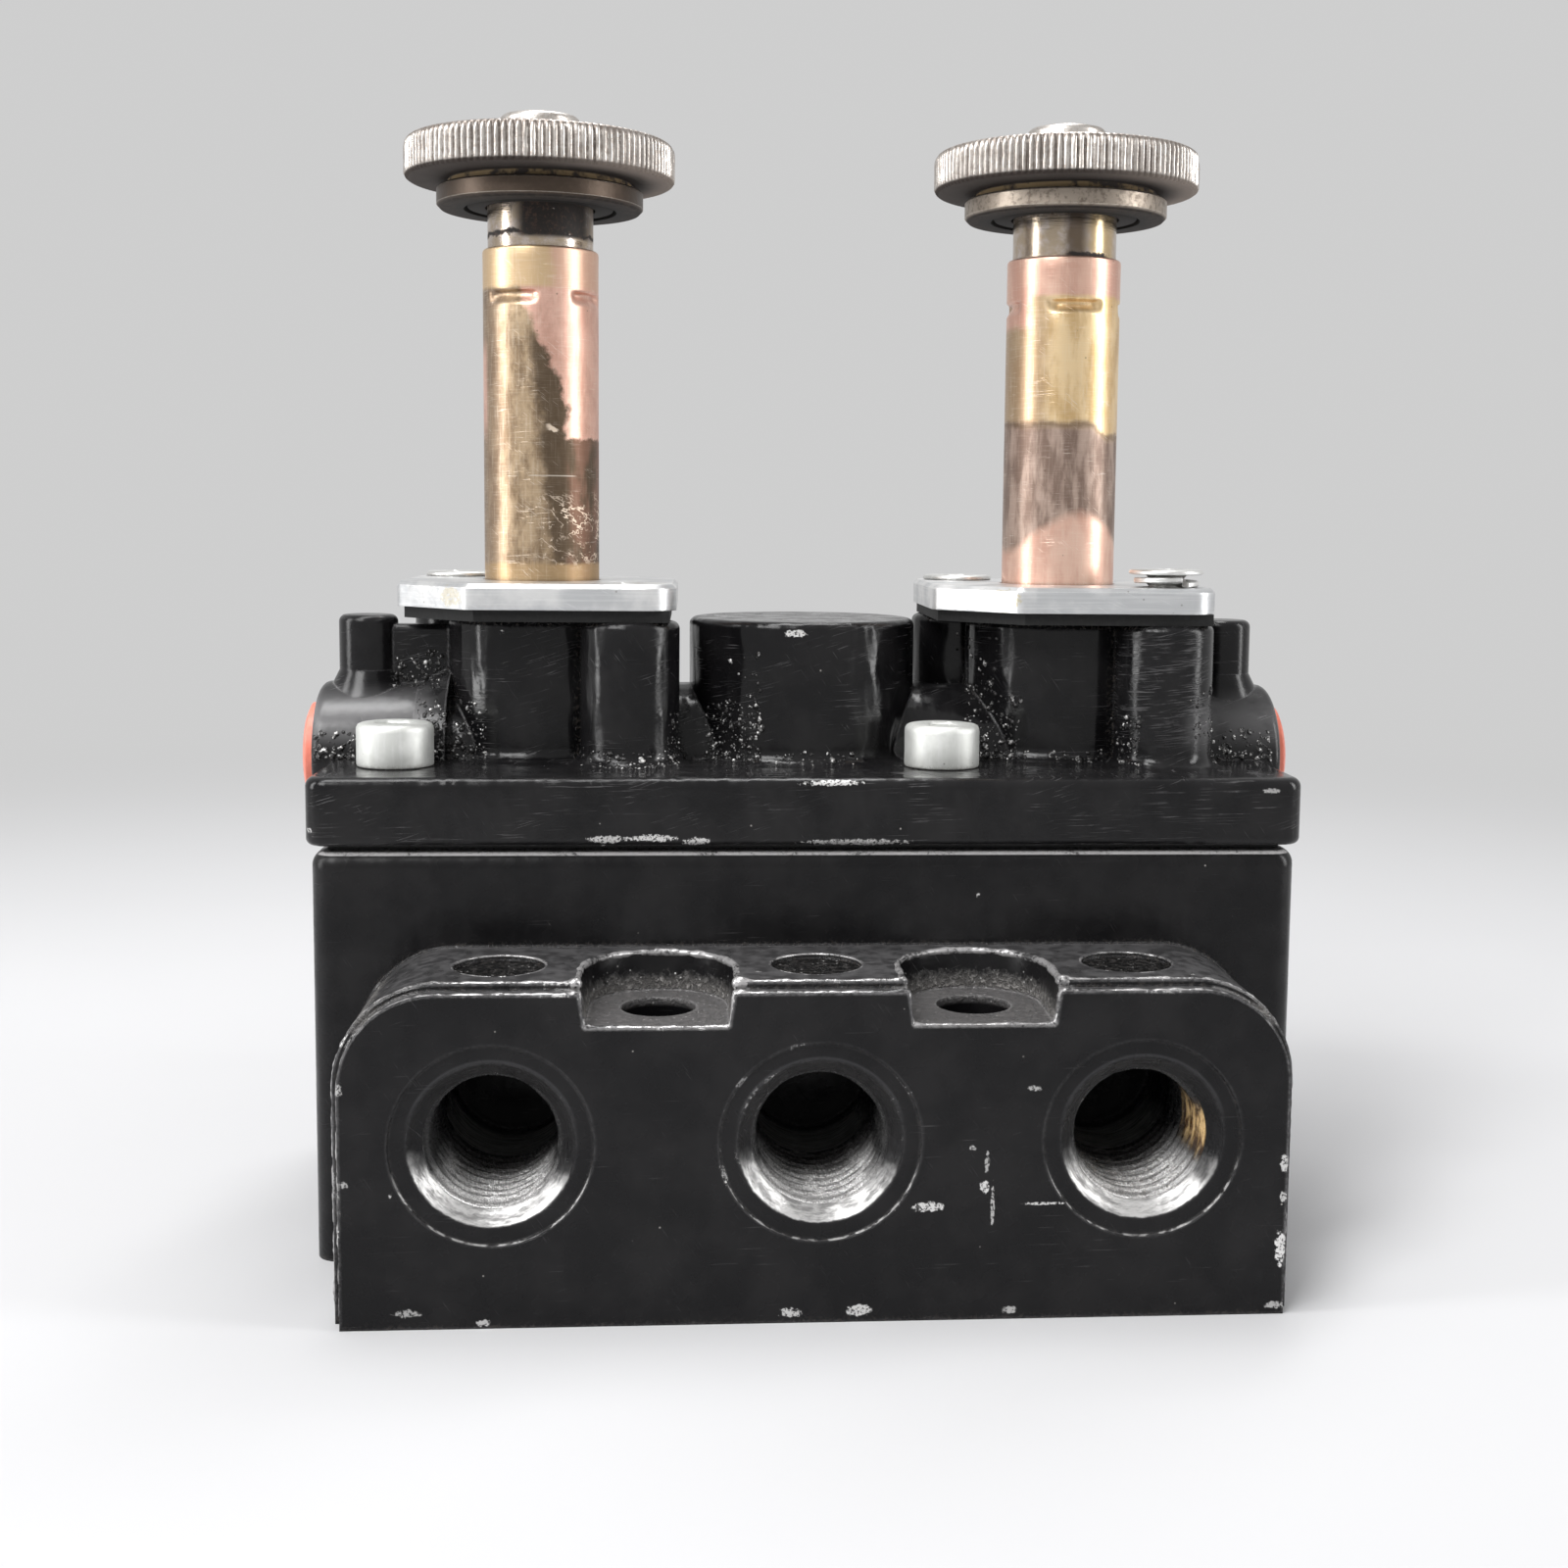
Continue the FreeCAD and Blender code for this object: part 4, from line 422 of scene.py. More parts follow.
def plated(name, colour, tint, rough, blotch=0.35, streak=(0.2, 0.2, 6.0), dirt=(0.09, 0.07, 0.05),
           corner_dark_share=0.5, edge_colour=None, stains=(), metallic=1.0, waves=0.0):
    """Plated or bare metal with blotches, fine streaks, dirt specks, darker tight corners that the occlusion
    node finds, and brighter edges.
    """
    s = Shader(name)
    edge, rounded = s.edges(0.16)
    cloud = s.rise(s.noise(blotch, shift=2.0, detail=4.0), 0.42, 0.66)
    fine = s.noise(3.0, shift=6.0, detail=4.0, roughness=0.7)
    lines = s.noise(1.0, stretch=streak, shift=8.0, detail=3.0)
    s.colour = s.mix(cloud, colour, tint)
    s.coat((0.95, 0.95, 0.95), s.rise(lines, 0.45, 0.7), 0.25)
    if stains:
        ragged = s.product(s.minus(s.noise(0.8, shift=31.0, detail=4.0), 0.5), 3.0)
        s.coat((0.62, 0.55, 0.38), s.marks(stains, ragged))
    # Darker colour in tight corners that the occlusion node finds.
    corner = s.product(s.crevices(0.9), s.rise(fine, 0.3, 0.6), corner_dark_share)
    s.coat(dirt, corner)
    s.coat(dirt, s.specks(1.4, 0.1, 0.16, shift=4.0), 0.45)
    marks = s.hairlines(-24.0, 0.08, 3.0, shift=17.0, share=0.3, clump=0.3)
    s.coat((0.97, 0.97, 0.97), marks, 0.3)
    if edge_colour is not None:
        s.coat(edge_colour, edge, 0.7)
    relief = s.sum(s.product(fine, 0.35), s.product(lines, 0.3), s.product(marks, -0.2),
                   s.product(s.noise(0.45, shift=25.0, detail=2.0), waves))
    return s.finish(Metallic=s.blend(corner, metallic, 0.25),
                    Roughness=s.blend(fine, rough - 0.08, rough + 0.12),
                    Normal=s.bump(relief, 0.02, rounded))


def rubber(name, colour, rough=0.6):
    """Moulded rubber with a pale bloom."""
    s = Shader(name)
    fine = s.noise(2.5, shift=3.0, detail=4.0)
    pale = tuple(channel * 1.9 for channel in colour)
    s.colour = s.mix(s.rise(fine, 0.4, 0.75), colour, pale)
    return s.finish(Specular_IOR_Level=0.25, Roughness=s.blend(fine, rough - 0.1, rough + 0.15),
                    Normal=s.bump(fine, 0.03))


def polymer(name, colour, rough=0.35):
    """Moulded plastic with faint flow marks, edges painted lighter for scuffs and as a painted highlight, and
    darker tight corners that the occlusion node finds.
    """
    s = Shader(name)
    edge, rounded = s.edges(0.3)
    cloud = s.noise(0.6, shift=5.0, detail=4.0)
    fine = s.noise(3.5, shift=9.0, detail=3.0)
    pale = tuple(min(1.0, channel * 1.12 + 0.03) for channel in colour)
    s.colour = s.mix(s.rise(cloud, 0.35, 0.7), colour, pale)
    # Scuffs and painted highlight: the edges are painted lighter.
    s.coat(tuple(min(1.0, channel * 1.2 + 0.12) for channel in colour), edge, 0.5)
    s.coat((0.12, 0.06, 0.05), s.specks(1.2, 0.06, 0.12, shift=3.0), 0.5)
    # Darker colour in tight corners that the occlusion node finds.
    s.coat((0.05, 0.03, 0.03), s.crevices(0.5), 0.6)
    return s.finish(Roughness=s.blend(fine, rough - 0.05, rough + 0.12),
                    Normal=s.bump(s.sum(cloud, s.product(fine, 0.15)), 0.03, rounded))


TARNISH = (0.12, 0.075, 0.05)


def tube_shader(name, sign):
    """A shader whose across runs over the tube as it is seen from the front, with shared noises."""
    s = Shader(name)
    beside = s.minus(s.x, sign * PILOT_X)
    s.across = s.sum(beside, s.product(s.y, 0.08 if sign < 0 else 0.19))
    s.wobble = s.minus(s.noise(0.45, shift=4.0, detail=4.0, roughness=0.65), 0.5)
    s.grain = s.noise(1.0, stretch=(5.0, 5.0, 0.35), shift=12.0, detail=3.0)
    s.turned = s.noise(1.0, stretch=(0.5, 0.5, 9.0), shift=15.0, detail=2.0)
    return s


def tube_finish(s, tarnish, rough=0.38):
    """Brushed grain, scratches and small stains over the tube's own colours."""
    edge, rounded = s.edges(0.12)
    # Darker colour in tight corners and dents that the occlusion node finds.
    s.coat((0.10, 0.06, 0.04), s.crevices(0.7), 0.55)
    calm = s.blend(tarnish, 1.0, 0.25)
    s.coat((0.92, 0.80, 0.66), s.rise(s.grain, 0.5, 0.75), calm, 0.22)
    s.coat((0.94, 0.84, 0.70), s.rise(s.turned, 0.5, 0.72), calm, 0.14)
    marks = s.highest(s.hairlines(3.0, 0.07, 2.0, shift=31.0, share=0.4, clump=0.3),
                      s.hairlines(-38.0, 0.08, 1.6, shift=61.0, share=0.2, clump=0.35))
    s.coat((0.90, 0.80, 0.70), marks, s.blend(tarnish, 0.45, 0.25))
    s.coat(TARNISH, s.specks(1.1, 0.08, 0.13, shift=7.0), 0.5)
    s.coat((0.93, 0.83, 0.72), edge, 0.4)
    relief = s.sum(s.product(s.turned, 0.5), s.product(s.grain, 0.35), s.product(marks, -0.3))
    return s.finish(Metallic=s.blend(tarnish, 0.92, 0.75),
                    Roughness=s.blend(tarnish, rough, rough + 0.12), Normal=s.bump(relief, 0.02, rounded))


def left_tube():
    """Olive on the left, pink copper at the upper right, dark brown and scratched at the lower right, with a
    painted dark reflection down its left side.
    """
    s = tube_shader("tube_brass_left", -1)
    across = s.sum(s.across, s.product(s.wobble, 2.4))
    level = s.sum(s.z, s.product(s.wobble, 1.8))
    mottle = s.rise(s.noise(0.6, stretch=(1.0, 1.0, 0.5), shift=19.0, detail=5.0, roughness=0.7), 0.36, 0.64)
    s.colour = s.mix(mottle, (0.26, 0.18, 0.11), (0.50, 0.37, 0.24))
    # Painted reflection: the tube's left side is painted darker brown.
    s.coat((0.26, 0.18, 0.13), s.rise(s.across, -2.6, -4.6), 0.5)
    dark = s.product(s.rise(s.sum(across, s.product(s.minus(s.z, 84.0), 0.1)), -1.9, -0.5),
                     s.rise(level, 85.0, 82.5))
    s.coat((0.085, 0.058, 0.036), dark, 0.92)
    brown = s.product(s.rise(across, 1.9, 3.4), s.rise(level, 74.3, 73.6),
                      s.rise(s.noise(0.5, stretch=(1.0, 1.0, 0.4), shift=27.0), 0.38, 0.6))
    s.coat((0.24, 0.13, 0.09), brown, 0.8)
    slope = s.product(s.minus(87.0, s.z), 0.42)
    limit = s.math("MINIMUM", s.minus(slope, 1.8), 2.3)
    pink = s.product(s.rise(s.minus(across, limit), -0.25, 0.4), s.rise(level, 73.7, 74.1))
    pinks = s.mix(mottle, (0.66, 0.385, 0.30), (0.80, 0.50, 0.40))
    s.coat(pinks, pink)
    side_pink = s.product(s.rise(s.across, -4.9, -5.3), s.rise(level, 73.0, 76.0), s.rise(s.z, 84.0, 81.0))
    s.coat(pinks, side_pink)
    collar = s.mix(s.rise(across, 0.2, 1.8), (0.68, 0.49, 0.29), (0.72, 0.46, 0.34))
    s.coat(collar, s.rise(s.z, 87.6, 88.2))
    foot = s.rise(s.sum(s.z, s.product(s.wobble, 1.0)), 62.4, 61.9)
    s.coat((0.50, 0.34, 0.18), foot, 0.7)
    skin = s.noise(0.55, stretch=(0.7, 0.7, 1.3), shift=71.0, detail=3.0, roughness=0.6, turn=-30.0)
    fringe = s.rise(s.size(s.minus(skin, 0.5)), 0.02, 0.01)
    crumbs = s.rise(s.noise(2.6, shift=75.0, detail=3.0, roughness=0.7), 0.61, 0.66)
    flaked = s.product(s.band(s.z, 62.2, 68.4, 0.9), s.rise(across, -1.2, 0.4))
    peeled = s.product(s.highest(fringe, crumbs), flaked, s.rise(s.noise(0.5, shift=79.0), 0.4, 0.55))
    scuffed = s.product(s.rise(skin, 0.55, 0.62), s.band(s.z, 73.6, 75.4, 0.5), s.band(across, 0.4, 2.6, 0.4))
    s.coat((0.84, 0.70, 0.56), s.highest(peeled, scuffed), 0.85)
    line = s.product(s.band(s.z, 70.35, 70.45, 0.05), s.band(s.across, -1.2, 3.1, 0.3))
    s.coat((0.80, 0.72, 0.62), line, 0.6)
    return tube_finish(s, s.product(dark, s.invert(pink)))


def right_tube():
    """Pink collar, bright gold below it, a dark brown band and a domed pink foot, with a painted dark
    reflection down its left side.
    """
    s = tube_shader("tube_brass_right", 1)
    across = s.sum(s.across, s.product(s.wobble, 1.5))
    level = s.sum(s.z, s.product(s.wobble, 1.0))
    clouds = s.rise(s.noise(0.4, stretch=(1.3, 1.3, 0.5), shift=23.0, detail=4.0), 0.4, 0.65)
    s.colour = s.mix(clouds, (0.66, 0.45, 0.22), (0.90, 0.68, 0.40))
    # Painted reflection: the tube's left side is painted darker.
    s.coat((0.34, 0.24, 0.17), s.rise(across, -2.4, -4.4), 0.7)
    lower = s.sum(level, s.product(s.rise(across, 1.0, 3.0), 1.1))
    dark = s.rise(lower, 76.6, 75.2)
    browns = s.mix(s.rise(s.noise(0.5, stretch=(1.6, 1.6, 0.4), shift=37.0, detail=4.0), 0.4, 0.64),
                   (0.21, 0.145, 0.115), (0.42, 0.315, 0.26))
    s.coat(browns, dark)
    s.coat(TARNISH, s.band(lower, 75.6, 76.1, 0.2), 0.6)
    dome = s.minus(67.4, s.product(s.across, s.across, 0.12))
    foot = s.rise(s.minus(level, dome), 0.6, -0.9)
    s.coat(s.mix(clouds, (0.74, 0.44, 0.34), (0.86, 0.58, 0.46)), foot)
    collar = s.rise(s.sum(s.z, s.product(s.wobble, 0.7)), 87.7, 88.3)
    edge_pink = s.product(s.rise(across, -4.3, -4.9), s.rise(level, 84.4, 85.6))
    s.coat(s.mix(clouds, (0.66, 0.385, 0.30), (0.78, 0.50, 0.39)), s.highest(collar, edge_pink))
    return tube_finish(s, s.product(dark, s.invert(foot), 0.8), rough=0.34)


def neck_steel():
    """Turned steel; the left neck has a cracked crust of dirt, the right one a gritty line and painted
    reflections, a golden band and a dark band.
    """
    s = Shader("core_steel")
    turned = s.noise(1.0, stretch=(0.4, 0.4, 10.0), shift=3.0, detail=2.0)
    patches = s.noise(0.7, shift=9.0, detail=5.0, roughness=0.7)
    fine = s.noise(2.4, shift=5.0, detail=4.0, roughness=0.7)
    left = s.math("LESS_THAN", s.x, 0.0)
    beside = s.minus(s.size(s.x), PILOT_X)
    across = s.product(beside, s.blend(left, 1.0, -1.0))
    crust = s.product(s.band(across, -1.9, 4.9, 0.8), s.band(s.z, 92.5, 95.9, 0.3), left)
    cracks = s.product(s.band(s.sum(s.z, s.product(patches, 1.6)), 93.5, 94.0, 0.15), left)
    crust = s.highest(s.product(crust, s.rise(patches, 0.30, 0.36)), cracks)
    line = s.product(s.rise(s.sum(s.z, fine), 92.75, 92.45), s.band(across, -0.8, 3.4, 0.4), s.invert(left))
    # The last term is darker colour in tight corners that the occlusion node finds.
    dirt = s.highest(crust, line, s.product(s.crevices(0.9), s.rise(fine, 0.35, 0.55), 0.85))
    s.colour = s.mix(s.rise(patches, 0.3, 0.6), (0.60, 0.53, 0.49), (0.48, 0.39, 0.29))
    # Painted reflections on the right neck: a golden band towards its right and a dark band near its middle.
    golden = s.product(s.band(across, 1.6, 4.2, 0.4), s.invert(left), 0.6)
    s.coat((0.70, 0.51, 0.25), golden)
    streak = s.product(s.band(s.sum(across, s.product(patches, 0.8)), -0.4, 1.5, 0.5), s.invert(left))
    s.coat((0.10, 0.07, 0.05), streak, 0.8)
    s.coat(s.mix(s.rise(fine, 0.5, 0.66), (0.012, 0.008, 0.006), (0.05, 0.026, 0.017)), dirt)
    return s.finish(Metallic=s.blend(dirt, 1.0, 0.15), Roughness=s.blend(dirt, 0.2, 0.62),
                    Normal=s.bump(s.sum(s.product(turned, 0.3), s.product(dirt, fine, 0.6)), 0.04))


def nut_metal():
    """Nickel-plated brass, worn bright on the ribs and grimy in the grooves; underneath it is painted near
    black as painted shade, with golden stains and painted light towards the rim on the right, and its edges
    carry a painted highlight.
    """
    s = Shader("nut_nickel")
    edge, rounded = s.edges(0.08)
    radius = s.axis_distance(PILOT_X)
    cloud = s.noise(0.35, shift=4.0, detail=4.0)
    fine = s.noise(2.6, shift=8.0, detail=4.0, roughness=0.7)
    turned = s.math("SINE", s.product(radius, 34.0))
    s.colour = s.mix(s.rise(cloud, 0.38, 0.64), (0.50, 0.46, 0.425), (0.68, 0.64, 0.60))
    s.coat((0.28, 0.22, 0.175), s.rise(fine, 0.48, 0.66), 0.5)
    on_rim = s.rise(radius, 12.3, 12.42)
    deep = s.product(s.rise(radius, 12.68, 12.54), on_rim, s.rise(fine, 0.26, 0.5))
    s.coat((0.11, 0.082, 0.066), deep, 0.8)
    crest = s.product(s.rise(radius, 12.735, 12.79), s.rise(s.sum(fine, s.product(cloud, 0.6)), 0.66, 0.86))
    s.coat((0.84, 0.81, 0.77), crest, 0.6)
    # Painted shade and stains: the underside is painted near black with golden stains, and lighter grey
    # towards the rim on its right side as painted light.
    under = s.rise(s.sum(s.z, s.product(fine, 0.3)), 98.72, 98.5)
    golden = s.product(s.rise(s.noise(0.55, shift=18.0, detail=4.0), 0.44, 0.56),
                       s.band(s.z, 97.42, 98.0, 0.05))
    underside_stain_and_shade = s.mix(s.product(golden, 0.8), (0.026, 0.017, 0.013), (0.34, 0.235, 0.11))
    beside = s.minus(s.math("WRAP", s.x, 0.0, 2 * PILOT_X), PILOT_X)
    painted_light_toward_rim = s.product(s.rise(radius, 9.4, 12.0), s.rise(beside, -2.0, 11.0))
    underside_stain_and_shade = s.mix(painted_light_toward_rim, underside_stain_and_shade, (0.20, 0.165, 0.14))
    s.coat(underside_stain_and_shade, under, 0.96)
    # Painted shade: inside radius 7.4 and below a height of 97.4 the nut is painted near black.
    s.coat(s.mix(s.rise(s.z, 97.3, 97.5), (0.008, 0.006, 0.005), s.colour), s.rise(radius, 7.6, 7.2))
    # Wear and painted highlight: the edges above the underside are painted paler.
    s.coat((0.92, 0.89, 0.85), edge, s.invert(under), 0.4)
    top = s.rise(s.z, 101.7, 101.78)
    relief = s.sum(s.product(fine, 0.7), s.product(top, turned, 0.12))
    greasy = s.highest(s.product(under, 0.95), s.product(deep, 0.5))
    return s.finish(Metallic=s.invert(greasy),
                    Roughness=s.blend(under, s.blend(fine, 0.22, 0.42), 0.85),
                    Normal=s.bump(relief, 0.03, rounded))


def washer_metal():
    """Dark greasy faces, painted near black towards the hole as painted shade, and a rim worn to nickel, with
    edges painted paler for wear and as a painted highlight.
    """
    s = Shader("washer_nickel")
    edge, rounded = s.edges(0.12)
    radius = s.axis_distance(PILOT_X)
    fine = s.noise(1.6, shift=6.0, detail=5.0, roughness=0.7)
    left = s.math("LESS_THAN", s.x, 0.0)
    rim = s.rise(radius, 9.5, 9.72)
    worn = s.mix(left, (0.34, 0.29, 0.24), (0.075, 0.056, 0.043))
    worn = s.mix(s.product(s.rise(fine, 0.46, 0.64), 0.6), worn, (0.09, 0.066, 0.05))
    dark = s.mix(s.rise(fine, 0.4, 0.65), (0.011, 0.008, 0.006), (0.036, 0.026, 0.02))
    # Painted shade: the faces are painted near black towards the hole.
    s.colour = s.mix(rim, s.mix(s.rise(radius, 9.2, 6.8), dark, (0.003, 0.0025, 0.002)), worn)
    # Wear and painted highlight: the rim's edges are painted paler.
    s.coat((0.72, 0.66, 0.58), edge, rim, 0.75)
    return s.finish(Metallic=s.product(rim, s.blend(fine, 1.0, 0.75)),
                    Roughness=s.blend(rim, 0.85, s.blend(fine, 0.3, 0.5)), Normal=s.bump(fine, 0.03, rounded))


def thread_metal():
    """Cut aluminium of the port threads: glinting below, with painted shade above and deep in, stained in one
    port.
    """
    s = Shader("port_thread_metal")
    across = s.station_offset()
    above = s.minus(s.z, PORT_Z)
    fine = s.noise(3.0, stretch=(1.0, 0.6, 1.0), shift=2.0, detail=4.0, roughness=0.7)
    cuts = s.rings(across, above, s.product(s.y, 1.4))
    # Painted shade: the thread is painted darker deep in the port and nearly black above the port's middle.
    deep = s.rise(s.size(s.y), 29.0, 23.5)
    shade = s.rise(s.sum(above, s.product(s.noise(0.5, shift=9.0), 3.0)), -3.4, -0.2)
    s.colour = s.mix(s.rise(cuts, 0.35, 0.6), (0.60, 0.585, 0.58), (0.93, 0.92, 0.91))
    s.coat((0.12, 0.10, 0.095), s.rise(fine, 0.56, 0.68), 0.8)
    s.coat((0.035, 0.03, 0.03), deep, 0.9)
    s.coat((0.006, 0.006, 0.0065), shade, 0.97)
    streak = s.rise(s.noise(1.6, stretch=(1.0, 1.6, 0.25), shift=6.0, detail=3.0), 0.42, 0.6)
    stain = s.product(s.rise(s.x, 31.2, 32.0), s.rise(s.y, -26.0, -29.0), s.band(s.z, 13.8, 17.4, 1.2))
    s.coat(s.mix(streak, (0.10, 0.05, 0.02), (0.80, 0.55, 0.26)), stain)
    metal = s.product(s.invert(s.product(shade, 0.9)), s.blend(stain, 0.6, 0.5))
    return s.finish(Metallic=metal, Roughness=s.blend(fine, 0.16, 0.38),
                    Normal=s.bump(s.sum(fine, s.product(cuts, 0.5)), 0.13))


def gritty_paint():
    """Paint over sand and metal crumbs: black, with wet glints and some bright grains."""
    s = Shader("gritty_paint")
    fine = s.noise(3.5, shift=3.0, detail=3.0)
    bright = s.rise(s.noise(1.3, shift=8.0, detail=2.0), 0.54, 0.62)
    s.colour = s.mix(s.product(bright, s.rise(fine, 0.35, 0.55)), (0.02, 0.019, 0.019), (0.64, 0.63, 0.62))
    return s.finish(Metallic=s.product(bright, 0.5), Roughness=s.blend(fine, 0.08, 0.26),
                    Normal=s.bump(fine, 0.06))


def bead_paint():
    """Paint drawn up into shiny beads along edges, painted pale in places, partly as paint rubbed through to
    metal and partly as a painted highlight.
    """
    s = Shader("bead_paint")
    fine = s.noise(2.2, shift=13.0, detail=4.0, roughness=0.7)
    patches = s.noise(0.25, shift=19.0, detail=2.0)
    # Pale patches: partly paint rubbed through to metal, partly a painted highlight on the beads.
    rubbed = s.rise(s.sum(fine, s.product(patches, 0.8)), 0.72, 1.0)
    s.colour = s.mix(rubbed, (0.04, 0.039, 0.04), (0.48, 0.47, 0.47))
    return s.finish(Metallic=s.product(rubbed, 0.5), Roughness=s.blend(fine, 0.1, 0.26),
                    Normal=s.bump(fine, 0.05))


MATERIALS = {
    "black_enamel": enamel("black_enamel", casting=False),
    "black_enamel_casting": enamel("black_enamel_casting", casting=True),
    "black_gasket": rubber("black_gasket", (0.008, 0.008, 0.008)),
    "zinc_cap_screw": plated("zinc_cap_screw", (0.70, 0.71, 0.68), (0.82, 0.83, 0.80), 0.5, metallic=0.72,
                             streak=(2.2, 2.2, 0.3), corner_dark_share=0.6, edge_colour=(0.93, 0.93, 0.92)),
    "spool_aluminium": plated("spool_aluminium", (0.72, 0.72, 0.73), (0.78, 0.78, 0.79), 0.26),
    "nitrile_seal": rubber("nitrile_seal", (0.014, 0.014, 0.014), 0.42),
    "zinc_plate_screw": plated("zinc_plate_screw", (0.70, 0.70, 0.68), (0.82, 0.82, 0.80), 0.34,
                               streak=(2.2, 2.2, 0.4), corner_dark_share=0.6, edge_colour=(0.93, 0.93, 0.93)),
    "piston_polymer": polymer("piston_polymer", (0.72, 0.70, 0.64)),
    "plug_brass": plated("plug_brass", (0.70, 0.50, 0.22), (0.76, 0.57, 0.28), 0.28),
    "red_button": polymer("red_button", (0.74, 0.19, 0.125), 0.3),
    "spring_steel": plated("spring_steel", (0.52, 0.52, 0.54), (0.62, 0.62, 0.64), 0.3),
    "zinc_plate": plated("zinc_plate", (0.58, 0.59, 0.60), (0.80, 0.80, 0.795), 0.32, blotch=0.22,
                         streak=(0.14, 0.14, 5.0), corner_dark_share=0.35, edge_colour=(0.95, 0.95, 0.95),
                         stains=((-32.6, 59.3, 1.2, 1.0, 0.55), (17.9, 59.3, 1.6, 1.1, 0.8)),
                         metallic=0.85, waves=4.0),
    "grey_gasket": rubber("grey_gasket", (0.008, 0.008, 0.008)),
    "tube_brass_left": left_tube(),
    "tube_brass_right": right_tube(),
    "core_steel": neck_steel(),
    "copper": plated("copper", (0.72, 0.34, 0.22), (0.78, 0.42, 0.3), 0.25),
    "armature_steel": plated("armature_steel", (0.58, 0.57, 0.56), (0.66, 0.65, 0.64), 0.25),
    "pad_polymer": polymer("pad_polymer", (0.03, 0.03, 0.03), 0.45),
    "nut_nickel": nut_metal(),
    "washer_nickel": washer_metal(),
}
THREAD_METAL = thread_metal()
GRITTY_PAINT = gritty_paint()
BEAD_PAINT = bead_paint()

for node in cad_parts.values():
    for place in node.material_slots:
        place.material = MATERIALS[place.material.name.split(".")[0]]


# ---- mesh helpers

def make_object(name, vertices, faces, slot, body, replaced=None, material=None, smooth_angle=40.0):
    """Add a piece from points in millimetres and let it ride on a body."""
    mesh = bpy.data.meshes.new(name)
    mesh.from_pydata([Vector(point) * MM for point in vertices], [], faces)
    mesh.validate()
    mesh.polygons.foreach_set("use_smooth", [True] * len(mesh.polygons))
    mesh.set_sharp_from_angle(angle=math.radians(smooth_angle))
    mesh.materials.append(material or MATERIALS[slot])
    piece = bpy.data.objects.new(name, mesh)
    bpy.context.scene.collection.objects.link(piece)
    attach(piece, body)
    if replaced:
        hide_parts(replaced)
    return piece


def grid_faces(rows, columns, first=0, close_rows=False):
    """Faces of a grid of points whose columns always close on themselves."""
    faces = []
    for row in range(rows if close_rows else rows - 1):
        for column in range(columns):
            a = first + row * columns + column
            b = first + row * columns + (column + 1) % columns
            c = first + (row + 1) % rows * columns + (column + 1) % columns
            d = first + (row + 1) % rows * columns + column
            faces.append((a, b, c, d))
    return faces


def turn_profile(points, faces, profile, columns, centre, close_rows=False, capped=False):
    """Turn (radius, height) pairs about an upright axis; a third entry makes the row a hexagon whose
    half width across its flats is the radius. A capped profile is closed at both ends."""
    x, y, z = centre
    first = len(points)
    for row in profile:
        radius, height = row[:2]
        for column in range(columns):
            angle = 2 * math.pi * column / columns
            reach = radius
            if len(row) == 3:
                reach = radius / math.cos(angle % (math.pi / 3) - math.pi / 6)
            points.append((x + reach * math.cos(angle), y + reach * math.sin(angle), z + height))
    faces += grid_faces(len(profile), columns, first, close_rows)
    if capped:
        last = first + (len(profile) - 1) * columns
        faces.append(tuple(range(first, first + columns))[::-1])
        faces.append(tuple(range(last, last + columns)))


# ---- screws

def thread_rows(radius, root, bottom, top, pitch):
    """A row of thread crests and roots along a shank, from its rounded tip to under the head."""
    rows = [(0.05, bottom), (root - 0.15, bottom), (root, bottom + 0.2)]
    level = bottom + 0.3
    while level < top - pitch:
        rows += [(radius, level + 0.3 * pitch), (radius, level + 0.4 * pitch), (root, level + 0.9 * pitch)]
        level += pitch
    return rows + [(radius, top - 0.02)]


def socket_rows(edge_radius, half_width, top, depth):
    """The chamfered mouth, the six walls and the drilled floor of a hexagon socket."""
    return [(edge_radius, top), (half_width, top - 0.18, True), (half_width, top - depth, True),
            (half_width * 0.5, top - depth - 0.15), (0.05, top - depth - 0.25)]


def add_screws(name, slot, node, profile, places):
    """Screws of one kind, each turned about its own place."""
    points, faces = [], []
    for place in places:
        turn_profile(points, faces, profile, 48, place, capped=True)
    make_object(name, points, faces, slot, "valve", node)


